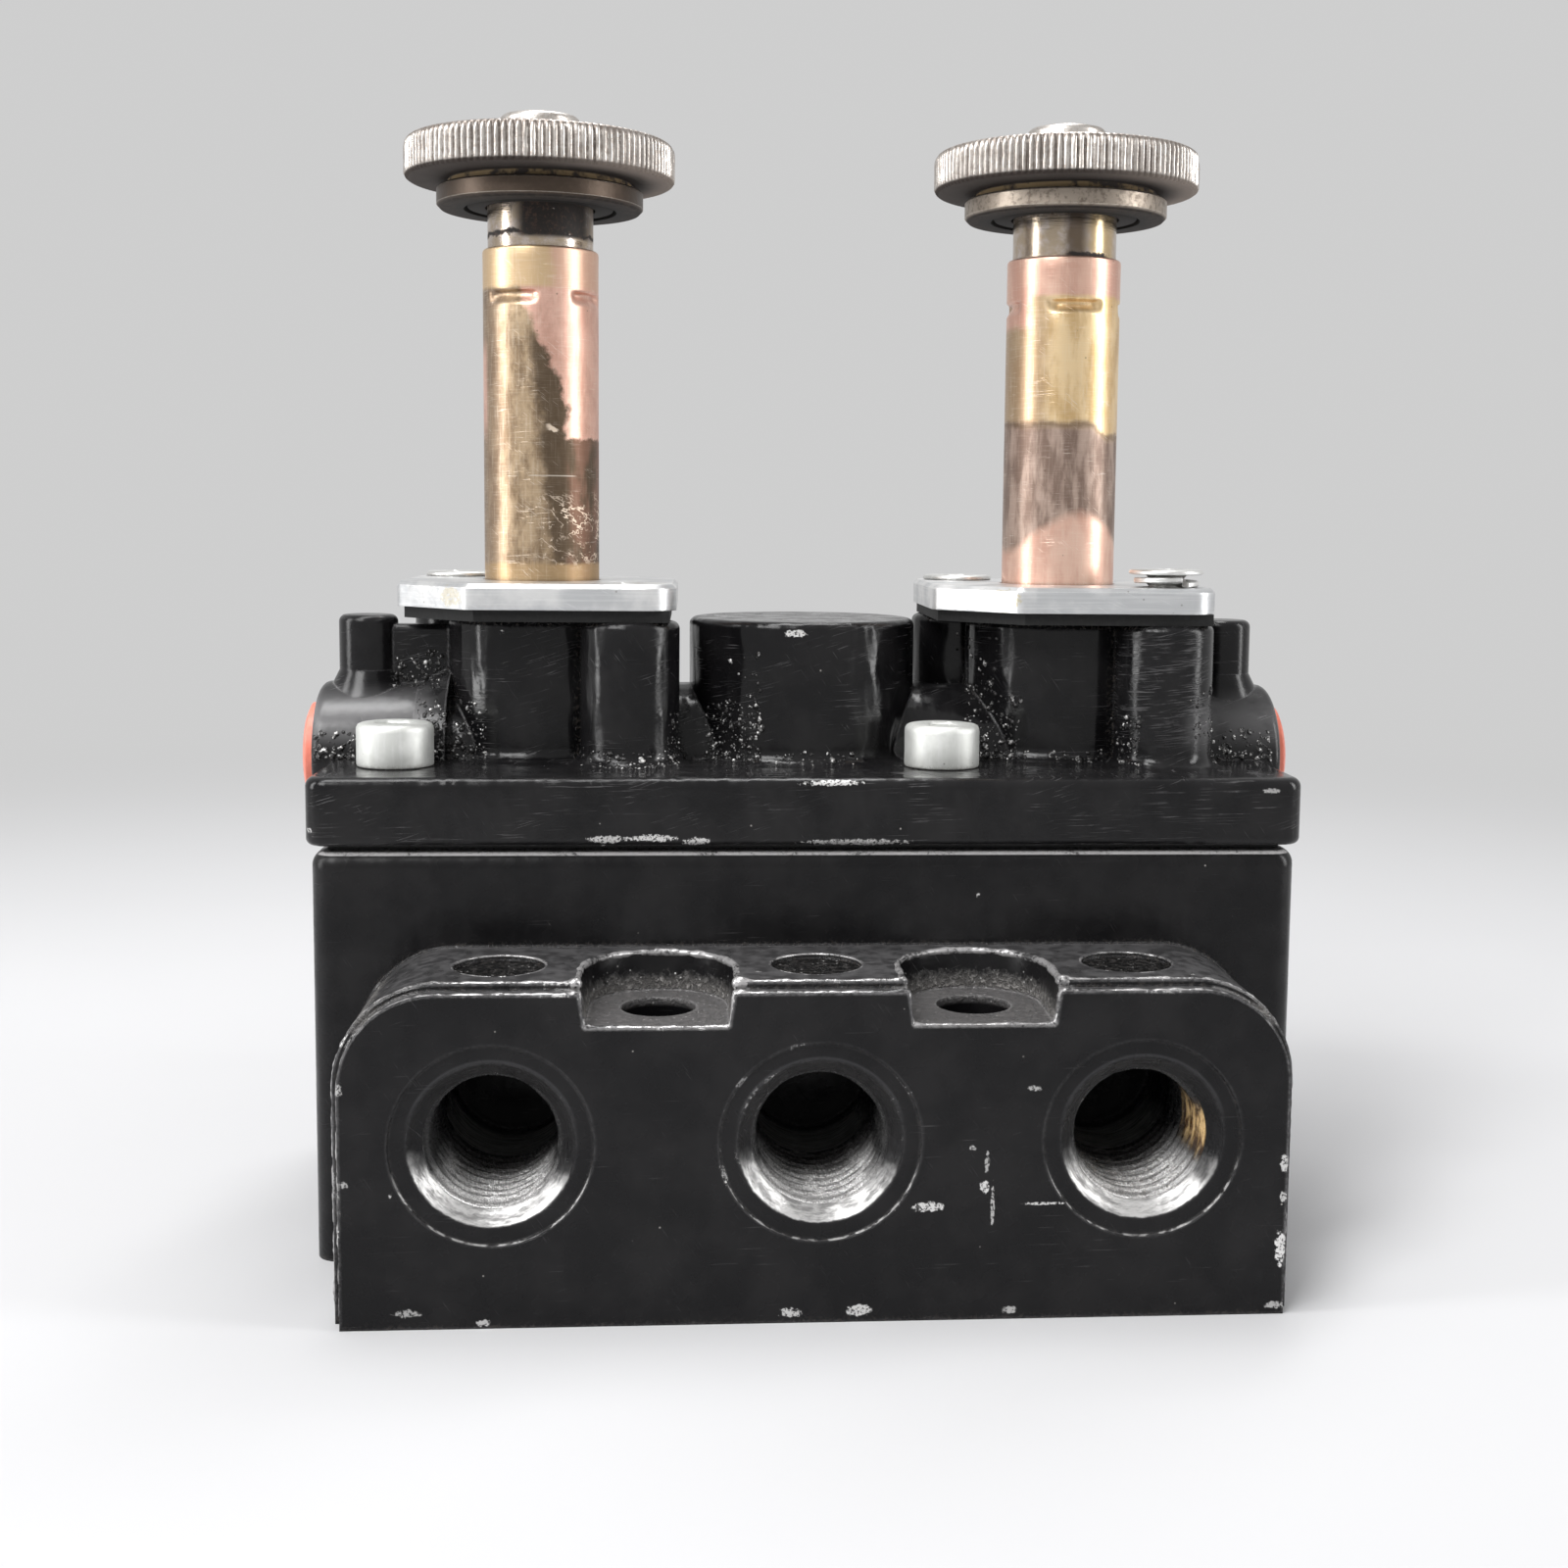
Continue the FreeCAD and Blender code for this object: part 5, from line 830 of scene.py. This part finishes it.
def add_all_screws():
    cap = thread_rows(1.96, 1.66, -12.0, 0.0, THREAD_PITCH) + [
        (3.3, 0.0), (3.46, 0.1), (3.5, 0.25), (3.49, 1.7), (3.5, 3.3), (3.46, 3.62), (3.34, 3.84),
        (3.12, 3.96), (2.85, 4.0), (2.3, 3.99)] + socket_rows(1.86, 1.5, 4.0, 2.2)
    add_screws("cap_screws", "zinc_cap_screw", "flange_cap_screws", cap,
               [(x, y, FLANGE_TOP) for x, y in CAP_SCREWS])
    cheese = thread_rows(1.94, 1.64, -9.0, 0.0, THREAD_PITCH) + [
        (3.25, 0.0), (3.45, 0.06), (3.5, 0.17), (3.48, 0.31), (3.36, 0.43), (3.1, 0.49), (2.6, 0.5)
    ] + socket_rows(1.6, 1.25, 0.5, 0.35)
    add_screws("plate_screws", "zinc_plate_screw", "clamp_plate_screws", cheese,
               [(-PILOT_X - PLATE_SCREW, PLATE_SCREW, PLATE_TOP),
                (PILOT_X - PLATE_SCREW, PLATE_SCREW, PLATE_TOP),
                (PILOT_X + PLATE_SCREW, -PLATE_SCREW, PLATE_TOP + SCREW_LIFT)])
    flat = thread_rows(1.94, 1.64, -9.0, -1.62, THREAD_PITCH) + [
        (3.5, -0.12), (3.56, -0.05), (3.5, -0.01), (3.2, 0.0)] + socket_rows(1.6, 1.25, 0.0, 1.4)
    add_screws("countersunk_screw", "zinc_plate_screw", "flat_plate_screw", flat,
               [(-PILOT_X + PLATE_SCREW, -PLATE_SCREW, PLATE_TOP)])


def add_lock_washer():
    """The split spring washer under the lifted screw's head."""
    inner, outer, thickness, rise, steps = 2.1, 3.05, 0.55, 0.5, 60
    centre_x, centre_y = PILOT_X + PLATE_SCREW, -PLATE_SCREW
    section = ((inner, 0.04), (inner + 0.06, 0.0), (outer - 0.12, 0.0), (outer, 0.12),
               (outer, thickness - 0.12), (outer - 0.12, thickness), (inner + 0.06, thickness),
               (inner, thickness - 0.04))
    points = []
    for step in range(steps + 1):
        angle = math.radians(-60.0 + 346.0 * step / steps)
        lift = PLATE_TOP + 0.02 + rise * step / steps
        for radius, height in section:
            points.append((centre_x + radius * math.cos(angle), centre_y + radius * math.sin(angle),
                           lift + height))
    faces = [face[::-1] for face in grid_faces(steps + 1, len(section))]
    faces.append(tuple(range(len(section))))
    faces.append(tuple(range(len(points) - len(section), len(points)))[::-1])
    make_object("lock_washer", points, faces, "zinc_plate_screw", "valve")


# ---- staked tubes

CRIMP_Z = 87.35


def smooth(value):
    value = min(1.0, max(0.0, value))
    return value * value * (3.0 - 2.0 * value)


def crimp_depth(angle, height, turn):
    """How far a staking dent sinks the tube at a place of its wall."""
    from_dent = abs((angle - turn + 45.0) % 90.0 - 45.0)
    along = 1.0 - smooth((from_dent - 20.0) / 10.0)
    offset = height - CRIMP_Z
    upright = 1.0 - smooth(offset / 0.4 if offset > 0 else -offset / 1.2)
    return 0.55 * along * upright


def add_tube(side, sign):
    """The flanged tube with rounded staking dents, a slightly belled mouth and wandering walls."""
    columns = 144
    turn = TUBE_TURN[side]
    seed = 3.0 * sign
    outside = [(6.9, 56.8), (7.0, 56.9), (7.0, 57.98), (6.9, 58.07), (5.62, 58.08), (5.5, 58.2), (5.5, 59.4)]
    outside += [(5.5, 60.6 + 1.6 * step) for step in range(16)]
    outside += [(5.5, 86.2 + 0.1 * step) for step in range(22)]
    outside += [(5.5, 89.2), (5.5, 90.4), (5.5, 91.4), (5.46, 91.58), (5.36, 91.68), (5.25, 91.7)]
    inside = [(5.1, 91.68), (5.05, 91.6), (5.05, 89.0)]
    inside += [(5.05, 88.3 - 0.1 * step) for step in range(22)]
    inside += [(5.05, 84.0), (5.05, 56.85), (5.15, 56.8)]
    points = []
    for index, (radius, height) in enumerate(outside + inside):
        for column in range(columns):
            degrees = 360.0 * column / columns
            angle = math.radians(degrees)
            reach = radius - crimp_depth(degrees, height, turn)
            if index < len(outside) and 60.0 < height < 91.0:
                spot = Vector((math.cos(angle) * 1.4, math.sin(angle) * 1.4 + seed, height * 0.22))
                reach -= 0.012 * (1.0 + noise.noise(spot))
            points.append((sign * PILOT_X + reach * math.cos(angle), reach * math.sin(angle), height))
    faces = grid_faces(len(outside) + len(inside), columns, close_rows=True)
    make_object(f"staked_tube_{side}", points, faces, f"tube_brass_{side}", "valve",
                f"armature_tube_{side}", smooth_angle=50.0)


# ---- knurled nuts

def add_nut(side, sign):
    """The thumb nut with worn, uneven ribs round its rim."""
    chance = random.Random(11 + sign)
    teeth, per_tooth = 120, 6
    groove = (1.0, 0.62, 0.1, 0.0, 0.1, 0.62)
    depths = [0.31 * chance.uniform(0.62, 1.0) for _ in range(teeth)]
    wear = [chance.uniform(0.0, 0.05) for _ in range(teeth)]
    rim = ((12.05, 98.1, 0.0), (12.4, 98.13, 0.25), (12.62, 98.26, 0.7), (12.77, 98.48, 1.0),
           (12.79, 98.8, 1.0), (12.79, 99.2, 1.0), (12.79, 99.6, 1.0), (12.79, 100.0, 1.0),
           (12.79, 100.4, 1.0), (12.79, 100.8, 1.0), (12.77, 101.12, 1.0), (12.68, 101.38, 0.8),
           (12.52, 101.6, 0.45), (12.32, 101.74, 0.15), (12.05, 101.8, 0.0))
    columns = teeth * per_tooth
    centre_x = sign * PILOT_X
    points = []
    for radius, height, share in rim:
        for column in range(columns):
            angle = 2 * math.pi * column / columns
            tooth = column // per_tooth
            cut = groove[column % per_tooth]
            edge = depths[(tooth + 1) % teeth] if column % per_tooth > 3 else depths[tooth]
            spot = Vector((math.cos(angle) * 9.0, math.sin(angle) * 9.0, height * 1.3 + 20.0 * sign))
            pits = 0.09 * max(0.0, noise.noise(spot)) + 0.05 * max(0.0, noise.noise(spot * 2.7))
            reach = radius - share * (edge * cut + wear[tooth] * (1.0 - cut) + pits)
            points.append((centre_x + reach * math.cos(angle), reach * math.sin(angle), height))
    faces = grid_faces(len(rim), columns)
    centre = (centre_x, 0.0, 0.0)
    sleeve = ((5.2, 95.65), (6.8, 95.65), (6.9, 95.75), (6.9, 95.98), (6.84, 96.05), (6.2, 96.05),
              (6.2, 97.45), (8.6, 97.45), (8.7, 97.54), (8.7, 98.1), (12.06, 98.1))
    turn_profile(points, faces, sleeve, 144, centre)
    crown = ((12.06, 101.8), (8.0, 101.8), (4.05, 101.8), (3.82, 101.88), (3.8, 102.1), (3.8, 103.7),
             (3.73, 104.0), (3.52, 104.22), (3.2, 104.3), (2.0, 104.3), (0.05, 104.3))
    turn_profile(points, faces, crown, 144, centre)
    last = len(points)
    faces.append(tuple(range(last - 144, last)))
    bore = ((0.05, 101.2), (4.05, 101.2), (4.05, 97.5), (5.2, 97.5), (5.2, 95.65))
    turn_profile(points, faces, bore, 144, centre)
    make_object(f"thumb_nut_{side}", points, faces, "nut_nickel", f"nut_{side}", f"knurled_nut_{side}",
                smooth_angle=55.0)


# ---- port threads

def port_thread(name, x, outward):
    """A helical thread on a port's wall, from the chamfer to where the tap ran out."""
    pitch, length, columns, per_turn = 1.41, 13.0, 72, 8
    wall, crest_depth, start = 5.712, 0.42, APRON_FACE - 1.47
    steps = round(length / pitch * per_turn)
    points = []
    for step in range(steps + 1):
        along = length * step / steps
        fade = min(1.0, along / (pitch * 0.6), (length - along) / pitch)
        for column in range(columns):
            angle = 2 * math.pi * column / columns
            phase = (along / pitch + outward * column / columns) % 1.0
            tooth = max(0.0, 1.0 - abs(phase - 0.5) * 2.6)
            spot = Vector((x * 0.3 + math.cos(angle) * 5.0, along * 2.4, math.sin(angle) * 5.0))
            burr = 0.11 * noise.noise(spot) * tooth
            radius = wall - 0.02 - crest_depth * max(0.0, fade) * tooth + min(0.0, burr)
            points.append((x + radius * math.cos(angle), outward * (start - along),
                           PORT_Z + radius * math.sin(angle)))
    for along in (length, 0.0):
        for column in range(columns):
            angle = 2 * math.pi * column / columns
            points.append((x + wall * math.cos(angle), outward * (start - along),
                           PORT_Z + wall * math.sin(angle)))
    faces = grid_faces(steps + 3, columns, close_rows=True)
    if outward > 0:
        faces = [face[::-1] for face in faces]
    make_object(name, points, faces, "spool_aluminium", "valve", material=THREAD_METAL, smooth_angle=70.0)


# ---- inner springs

def add_pressed_spring(carrier, side, axis, moving_end):
    """A spring in its node's place, in a mesh of its own, that rides on the body of its carrier."""
    node = ("override" if carrier == "button" else carrier) + f"_spring_{side}"
    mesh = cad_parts[node].data
    spring = make_object(f"pressed_{node}", [vertex.co / MM for vertex in mesh.vertices],
                         [tuple(face.vertices) for face in mesh.polygons], "spring_steel",
                         f"{carrier}_{side}", replaced=node)
    ends = [corner[axis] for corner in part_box(node)]
    anchor, direction = [0.0, 0.0, 0.0], [0.0, 0.0, 0.0]
    anchor[axis], direction[axis] = ends[moving_end], 1.0
    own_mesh(spring)


# ---- casting grit

# Where lumps of sand and paint gathered at the feet of the bosses, in the front view: the
# lowest and highest x and z, and how many there are. The rear has the same, turned half round.
GRIT = (
    (-9.4, -4.4, 43.9, 49.5, 120), (-7.2, -4.2, 47.0, 54.0, 30), (-3.0, 5.0, 43.8, 45.0, 30),
    (15.6, 20.6, 43.9, 50.0, 130), (16.0, 18.5, 50.0, 55.5, 26), (21.0, 28.5, 43.8, 44.9, 30),
    (-36.8, -30.0, 43.9, 49.2, 130), (-46.2, -41.0, 43.9, 46.2, 60), (-39.4, -34.6, 50.2, 53.6, 60),
    (-21.0, -11.8, 43.8, 45.2, 60), (-13.0, -11.9, 44.5, 48.5, 26), (29.4, 31.2, 44.0, 48.5, 36),
    (38.6, 45.4, 43.9, 46.6, 70), (36.0, 39.6, 46.5, 52.5, 36))


def add_casting_grit():
    """Small glossy lumps that stick to the casting's walls, placed by looking for the wall."""
    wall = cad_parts["valve_body"].data
    tree = BVHTree.FromPolygons([vertex.co for vertex in wall.vertices],
                                [polygon.vertices for polygon in wall.polygons])
    template = bmesh.new()
    bmesh.ops.create_icosphere(template, subdivisions=1, radius=1.0)
    corners = [vertex.co.copy() for vertex in template.verts]
    sides = [[vertex.index for vertex in face.verts] for face in template.faces]
    template.free()
    chance = random.Random(5)
    points, faces = [], []
    for toward in (1, -1):
        for x_low, x_high, z_low, z_high, count in GRIT:
            for _ in range(2 * count):
                x = toward * chance.uniform(x_low, x_high)
                z = z_low + (z_high - z_low) * chance.random() ** 1.7
                start = Vector((x, -60.0 * toward, z)) * MM
                spot, normal, _, _ = tree.ray_cast(start, Vector((0.0, toward, 0.0)))
                if spot is None or abs(spot.y) > 16.0 * MM:
                    continue
                spot = spot / MM
                size = chance.uniform(0.05, 0.15) + 0.25 * chance.random() ** 5
                aside = normal.orthogonal().normalized()
                along = normal.cross(aside)
                first = len(points)
                for corner in corners:
                    stretch = size * chance.uniform(0.75, 1.25)
                    points.append(spot + aside * corner.x * stretch + along * corner.y * stretch
                                  + normal * corner.z * stretch * 0.6)
                faces += [tuple(first + index for index in side) for side in sides]
    make_object("casting_grit", points, faces, "black_enamel_casting", "valve", material=GRITTY_PAINT,
                smooth_angle=70.0)


# ---- paint beads

# Half width, top and corner radius of an apron's lip and step, and how far their beads sink in.
LIP, LIP_SUNK = (39.4, 28.0, 7.9), 0.22
STEP, STEP_SUNK = (40.0, 28.6, 8.5), 0.2
STEP_FACE = 33.5
# Half widths of a recess at its floor, at the lip and at the step, its floor and its hole.
RECESS_NARROW, LIP_RECESS, STEP_RECESS = 5.9, 6.34, 6.44
RECESS_FLOOR = 25.2
RECESS_HOLE_Y = 28.1
BEAD = 0.4
BEAD_FOOT = 1.2


def arc(x, z, radius, first, last, steps=10):
    """Points of an arc in the front view, by its first and last angle in degrees."""
    angles = [math.radians(first + (last - first) * step / steps) for step in range(steps + 1)]
    return [(x + radius * math.cos(angle), z + radius * math.sin(angle)) for angle in angles]


def spaced(path, gap):
    """The same path with points about a gap apart."""
    points = [Vector(path[0])]
    for corner in path[1:]:
        start, corner = points[-1], Vector(corner)
        steps = max(1, round((corner - start).length / gap))
        points += [start.lerp(corner, step / steps) for step in range(1, steps + 1)]
    return points


def sweep_bead(points, faces, path, radius, seed, sides=8, lumps=()):
    """A round bead of paint along a path, thicker and thinner as it goes and fullest at its lumps."""
    path = spaced(path, 0.28)
    first = len(points)
    for index, spot in enumerate(path):
        ahead = path[min(index + 1, len(path) - 1)] - path[max(index - 1, 0)]
        aside = ahead.cross(Vector((0.31, 0.83, 0.46))).normalized()
        upward = ahead.cross(aside).normalized()
        where = spot * 0.9 + Vector((seed, 0.0, 0.0))
        lump = max((math.exp(-((spot - Vector(place)).length / 0.7) ** 2) for place in lumps), default=0.0)
        reach = radius * (0.82 + 0.3 * noise.noise(where) + 0.16 * noise.noise(where * 3.1) + 0.55 * lump)
        for side in range(sides):
            angle = 2 * math.pi * side / sides
            point = spot + aside * reach * math.cos(angle) + upward * reach * math.sin(angle)
            point.y = max(point.y, 0.01 - APRON_FACE)
            points.append(point)
    faces += grid_faces(len(path), sides, first)
    faces.append(tuple(range(first, first + sides))[::-1])
    faces.append(tuple(range(len(points) - sides, len(points))))


def outline_height(x, half, top, corner):
    """How high an apron's outline with rounded corners stands at x."""
    past = max(0.0, abs(x) - half + corner)
    return top - corner + math.sqrt(max(0.0, corner ** 2 - past ** 2))


def apron_path(shape, y, recesses, wide, dip):
    """The outline of an apron at y, from foot to foot, with the points of its dip at each recess."""
    half, top, corner = shape
    path = [(-half, y, BEAD_FOOT)]
    path += [(x, y, z) for x, z in arc(-half + corner, top - corner, corner, 180.0, 90.0)]
    for x in recesses:
        path = [spot for spot in path if spot[0] < x - wide]
        path += [(x - wide, y, outline_height(x - wide, *shape)), *dip(x),
                 (x + wide, y, outline_height(x + wide, *shape))]
    last = path[-1][0]
    path += [(x, y, z) for x, z in arc(half - corner, top - corner, corner, 90.0, 0.0) if x > last]
    return path + [(half, y, BEAD_FOOT)]


def both_sides(recesses, aside, y, z):
    """The places to the left and right of each recess."""
    return [(x + way * aside, y, z) for x in recesses for way in (-1, 1)]


def add_paint_beads():
    """Beads along the lips, steps and recesses of both aprons and round their cast marks."""
    points, faces = [], []
    lip = (LIP[0] - LIP_SUNK, LIP[1] - LIP_SUNK, LIP[2])
    step = (STEP[0] - STEP_SUNK, STEP[1] - STEP_SUNK, STEP[2])
    lip_y, step_y = BEAD + 0.02 - APRON_FACE, BEAD + 0.02 - STEP_FACE
    floor, narrow = RECESS_FLOOR - LIP_SUNK, RECESS_NARROW + LIP_SUNK
    lip_wide, step_wide = LIP_RECESS + LIP_SUNK, STEP_RECESS + STEP_SUNK

    def lip_dip(x):
        return [(x - narrow, lip_y, floor), (x + narrow, lip_y, floor)]

    def step_dip(x):
        return [(spot, along, outline_height(spot, *step))
                for spot, along in arc(x, -RECESS_HOLE_Y, step_wide, 180.0, 0.0, steps=24)]

    for toward, recesses, marks in ((1, (-STATION, STATION), FRONT_PORTS),
                                    (-1, (-2 * STATION, 2 * STATION), REAR_PORTS)):
        first = len(points)
        lumps = both_sides(recesses, lip_wide, lip_y, lip[1]) + both_sides(recesses, narrow, lip_y, floor)
        sweep_bead(points, faces, apron_path(lip, lip_y, recesses, lip_wide, lip_dip), BEAD,
                   seed=toward * 5.0, lumps=lumps)
        sweep_bead(points, faces, apron_path(step, step_y, recesses, step_wide, step_dip), BEAD,
                   seed=toward * 9.0, lumps=both_sides(recesses, step_wide, step_y, step[1]))
        for number, x in enumerate(marks):
            ring = [(spot, along, APRON_TOP - 0.1) for spot, along in
                    arc(x, -MARK_Y, MARK_RADIUS + 0.05, 0.0, 352.0, steps=40)]
            sweep_bead(points, faces, ring, 0.14, seed=toward * 20.0 + number * 3.0, sides=6)
        if toward < 0:
            points[first:] = [Vector((-x, -y, z)) for x, y, z in points[first:]]
    make_object("paint_beads", points, faces, "black_enamel", "valve", material=BEAD_PAINT, smooth_angle=80.0)


add_all_screws()
add_lock_washer()
add_paint_beads()
for side, sign in SIDES:
    add_tube(side, sign)
    add_nut(side, sign)
for row, ports, outward in (("front", FRONT_PORTS, -1), ("rear", REAR_PORTS, 1)):
    for number, port_x in enumerate(ports, start=1):
        port_thread(f"{row}_port_thread_{number}", port_x, outward)
add_casting_grit()
for side, sign in SIDES:
    add_pressed_spring("armature", side, axis=2, moving_end=0)
    add_pressed_spring("button", side, axis=0, moving_end=max(0, sign))


# ---- stage, light and camera

# How bright the surroundings are to the camera and in gloss, and as a light on the part.
STAGE_LEVEL = 0.62
STAGE_LIGHT = 0.34


def seen_rays(nodes, links):
    """One for rays that show the surroundings: straight to the camera, in gloss or through glass."""
    rays = nodes.new("ShaderNodeLightPath")
    total = rays.outputs["Is Camera Ray"]
    for name in ("Is Glossy Ray", "Is Transmission Ray"):
        step = nodes.new("ShaderNodeMath")
        step.operation = "MAXIMUM"
        links.new(total, step.inputs[0])
        links.new(rays.outputs[name], step.inputs[1])
        total = step.outputs[0]
    return total


def floor_material():
    """A pale matte floor that fades into the surroundings some way off."""
    s = Shader("pale_floor")
    cloud = s.noise(0.01, shift=2.0)
    s.colour = s.mix(cloud, (0.55, 0.55, 0.56), (0.59, 0.59, 0.60))
    material = s.finish(Roughness=0.85)
    far = s.rise(s.distance(s.x, s.y), 120.0, 420.0)
    share = s.product(far, seen_rays(s.nodes, s.links))
    glow = s.add("ShaderNodeEmission", {"Color": (1.0, 1.0, 1.0), "Strength": STAGE_LEVEL})
    both = s.add("ShaderNodeMixShader", {0: share, 1: s.surface.outputs[0], 2: glow.outputs[0]})
    s.links.new(both.outputs[0], s.nodes["Material Output"].inputs["Surface"])
    return material


def add_floor():
    mesh = bpy.data.meshes.new("floor")
    reach = 6.0
    mesh.from_pydata([(-reach, -reach, 0), (reach, -reach, 0), (reach, reach, 0), (-reach, reach, 0)], [],
                     [(0, 1, 2, 3)])
    mesh.materials.append(floor_material())
    floor = bpy.data.objects.new("floor", mesh)
    bpy.context.scene.collection.objects.link(floor)


def add_lamp(name, place, width, height, power):
    """A soft rectangular lamp aimed at the middle of the valve; places in metres."""
    lamp = bpy.data.lights.new(name, "AREA")
    lamp.shape = "RECTANGLE"
    lamp.size = width
    lamp.size_y = height
    lamp.energy = power
    holder = bpy.data.objects.new(name, lamp)
    holder.location = place
    aim = Vector((0.0, 0.0, 0.05)) - Vector(place)
    holder.rotation_euler = aim.to_track_quat("-Z", "Y").to_euler()
    bpy.context.scene.collection.objects.link(holder)


def add_world():
    """Plain pale surroundings; what the camera and gloss see is paler than the light they give."""
    world = bpy.data.worlds.new("studio")
    bpy.context.scene.world = world
    world.use_nodes = True
    nodes, links = world.node_tree.nodes, world.node_tree.links
    shade = nodes["Background"]
    shade.inputs["Color"].default_value = (1.0, 1.0, 1.0, 1.0)
    strength = nodes.new("ShaderNodeMix")
    strength.data_type = "FLOAT"
    links.new(seen_rays(nodes, links), strength.inputs[0])
    strength.inputs[2].default_value = STAGE_LIGHT
    strength.inputs[3].default_value = STAGE_LEVEL
    links.new(strength.outputs[0], shade.inputs["Strength"])


def add_camera():
    """The photograph's viewpoint: place in millimetres, angles in degrees, focal length in pixels."""
    place, focal, side = Vector((-10.629, -189.739, 66.968)), 1971.50, 1600.0
    middle_x, middle_y = 846.34, 727.09
    yaw, pitch, roll = (math.radians(angle) for angle in (4.0559, 5.8322, 0.5866))
    forward = Vector((math.sin(yaw) * math.cos(pitch), math.cos(yaw) * math.cos(pitch), -math.sin(pitch)))
    level = Vector((math.cos(yaw), -math.sin(yaw), 0.0))
    upward = level.cross(forward)
    right = level * math.cos(roll) + upward * math.sin(roll)
    up = upward * math.cos(roll) - level * math.sin(roll)
    data = bpy.data.cameras.new("camera")
    data.sensor_width = 36.0
    data.lens = focal / side * data.sensor_width
    data.shift_x = (side / 2 - middle_x) / side
    data.shift_y = (middle_y - side / 2) / side
    data.clip_start, data.clip_end = 0.01, 50.0
    camera = bpy.data.objects.new("camera", data)
    turn = Matrix((right, up, -forward)).transposed().to_4x4()
    camera.matrix_world = Matrix.Translation(place * MM) @ turn
    bpy.context.scene.collection.objects.link(camera)
    bpy.context.scene.camera = camera


add_floor()
add_world()
add_lamp("key_lamp", (-0.32, -0.42, 0.50), 0.28, 0.28, 2.8)
add_lamp("left_strip", (-0.48, -0.10, 0.18), 0.10, 0.42, 1.3)
add_lamp("right_strip", (0.48, -0.14, 0.20), 0.10, 0.42, 1.3)
add_lamp("top_strip", (-0.05, 0.04, 0.54), 0.60, 0.10, 2.5)
add_camera()
bpy.context.scene.view_settings.view_transform = "Standard"
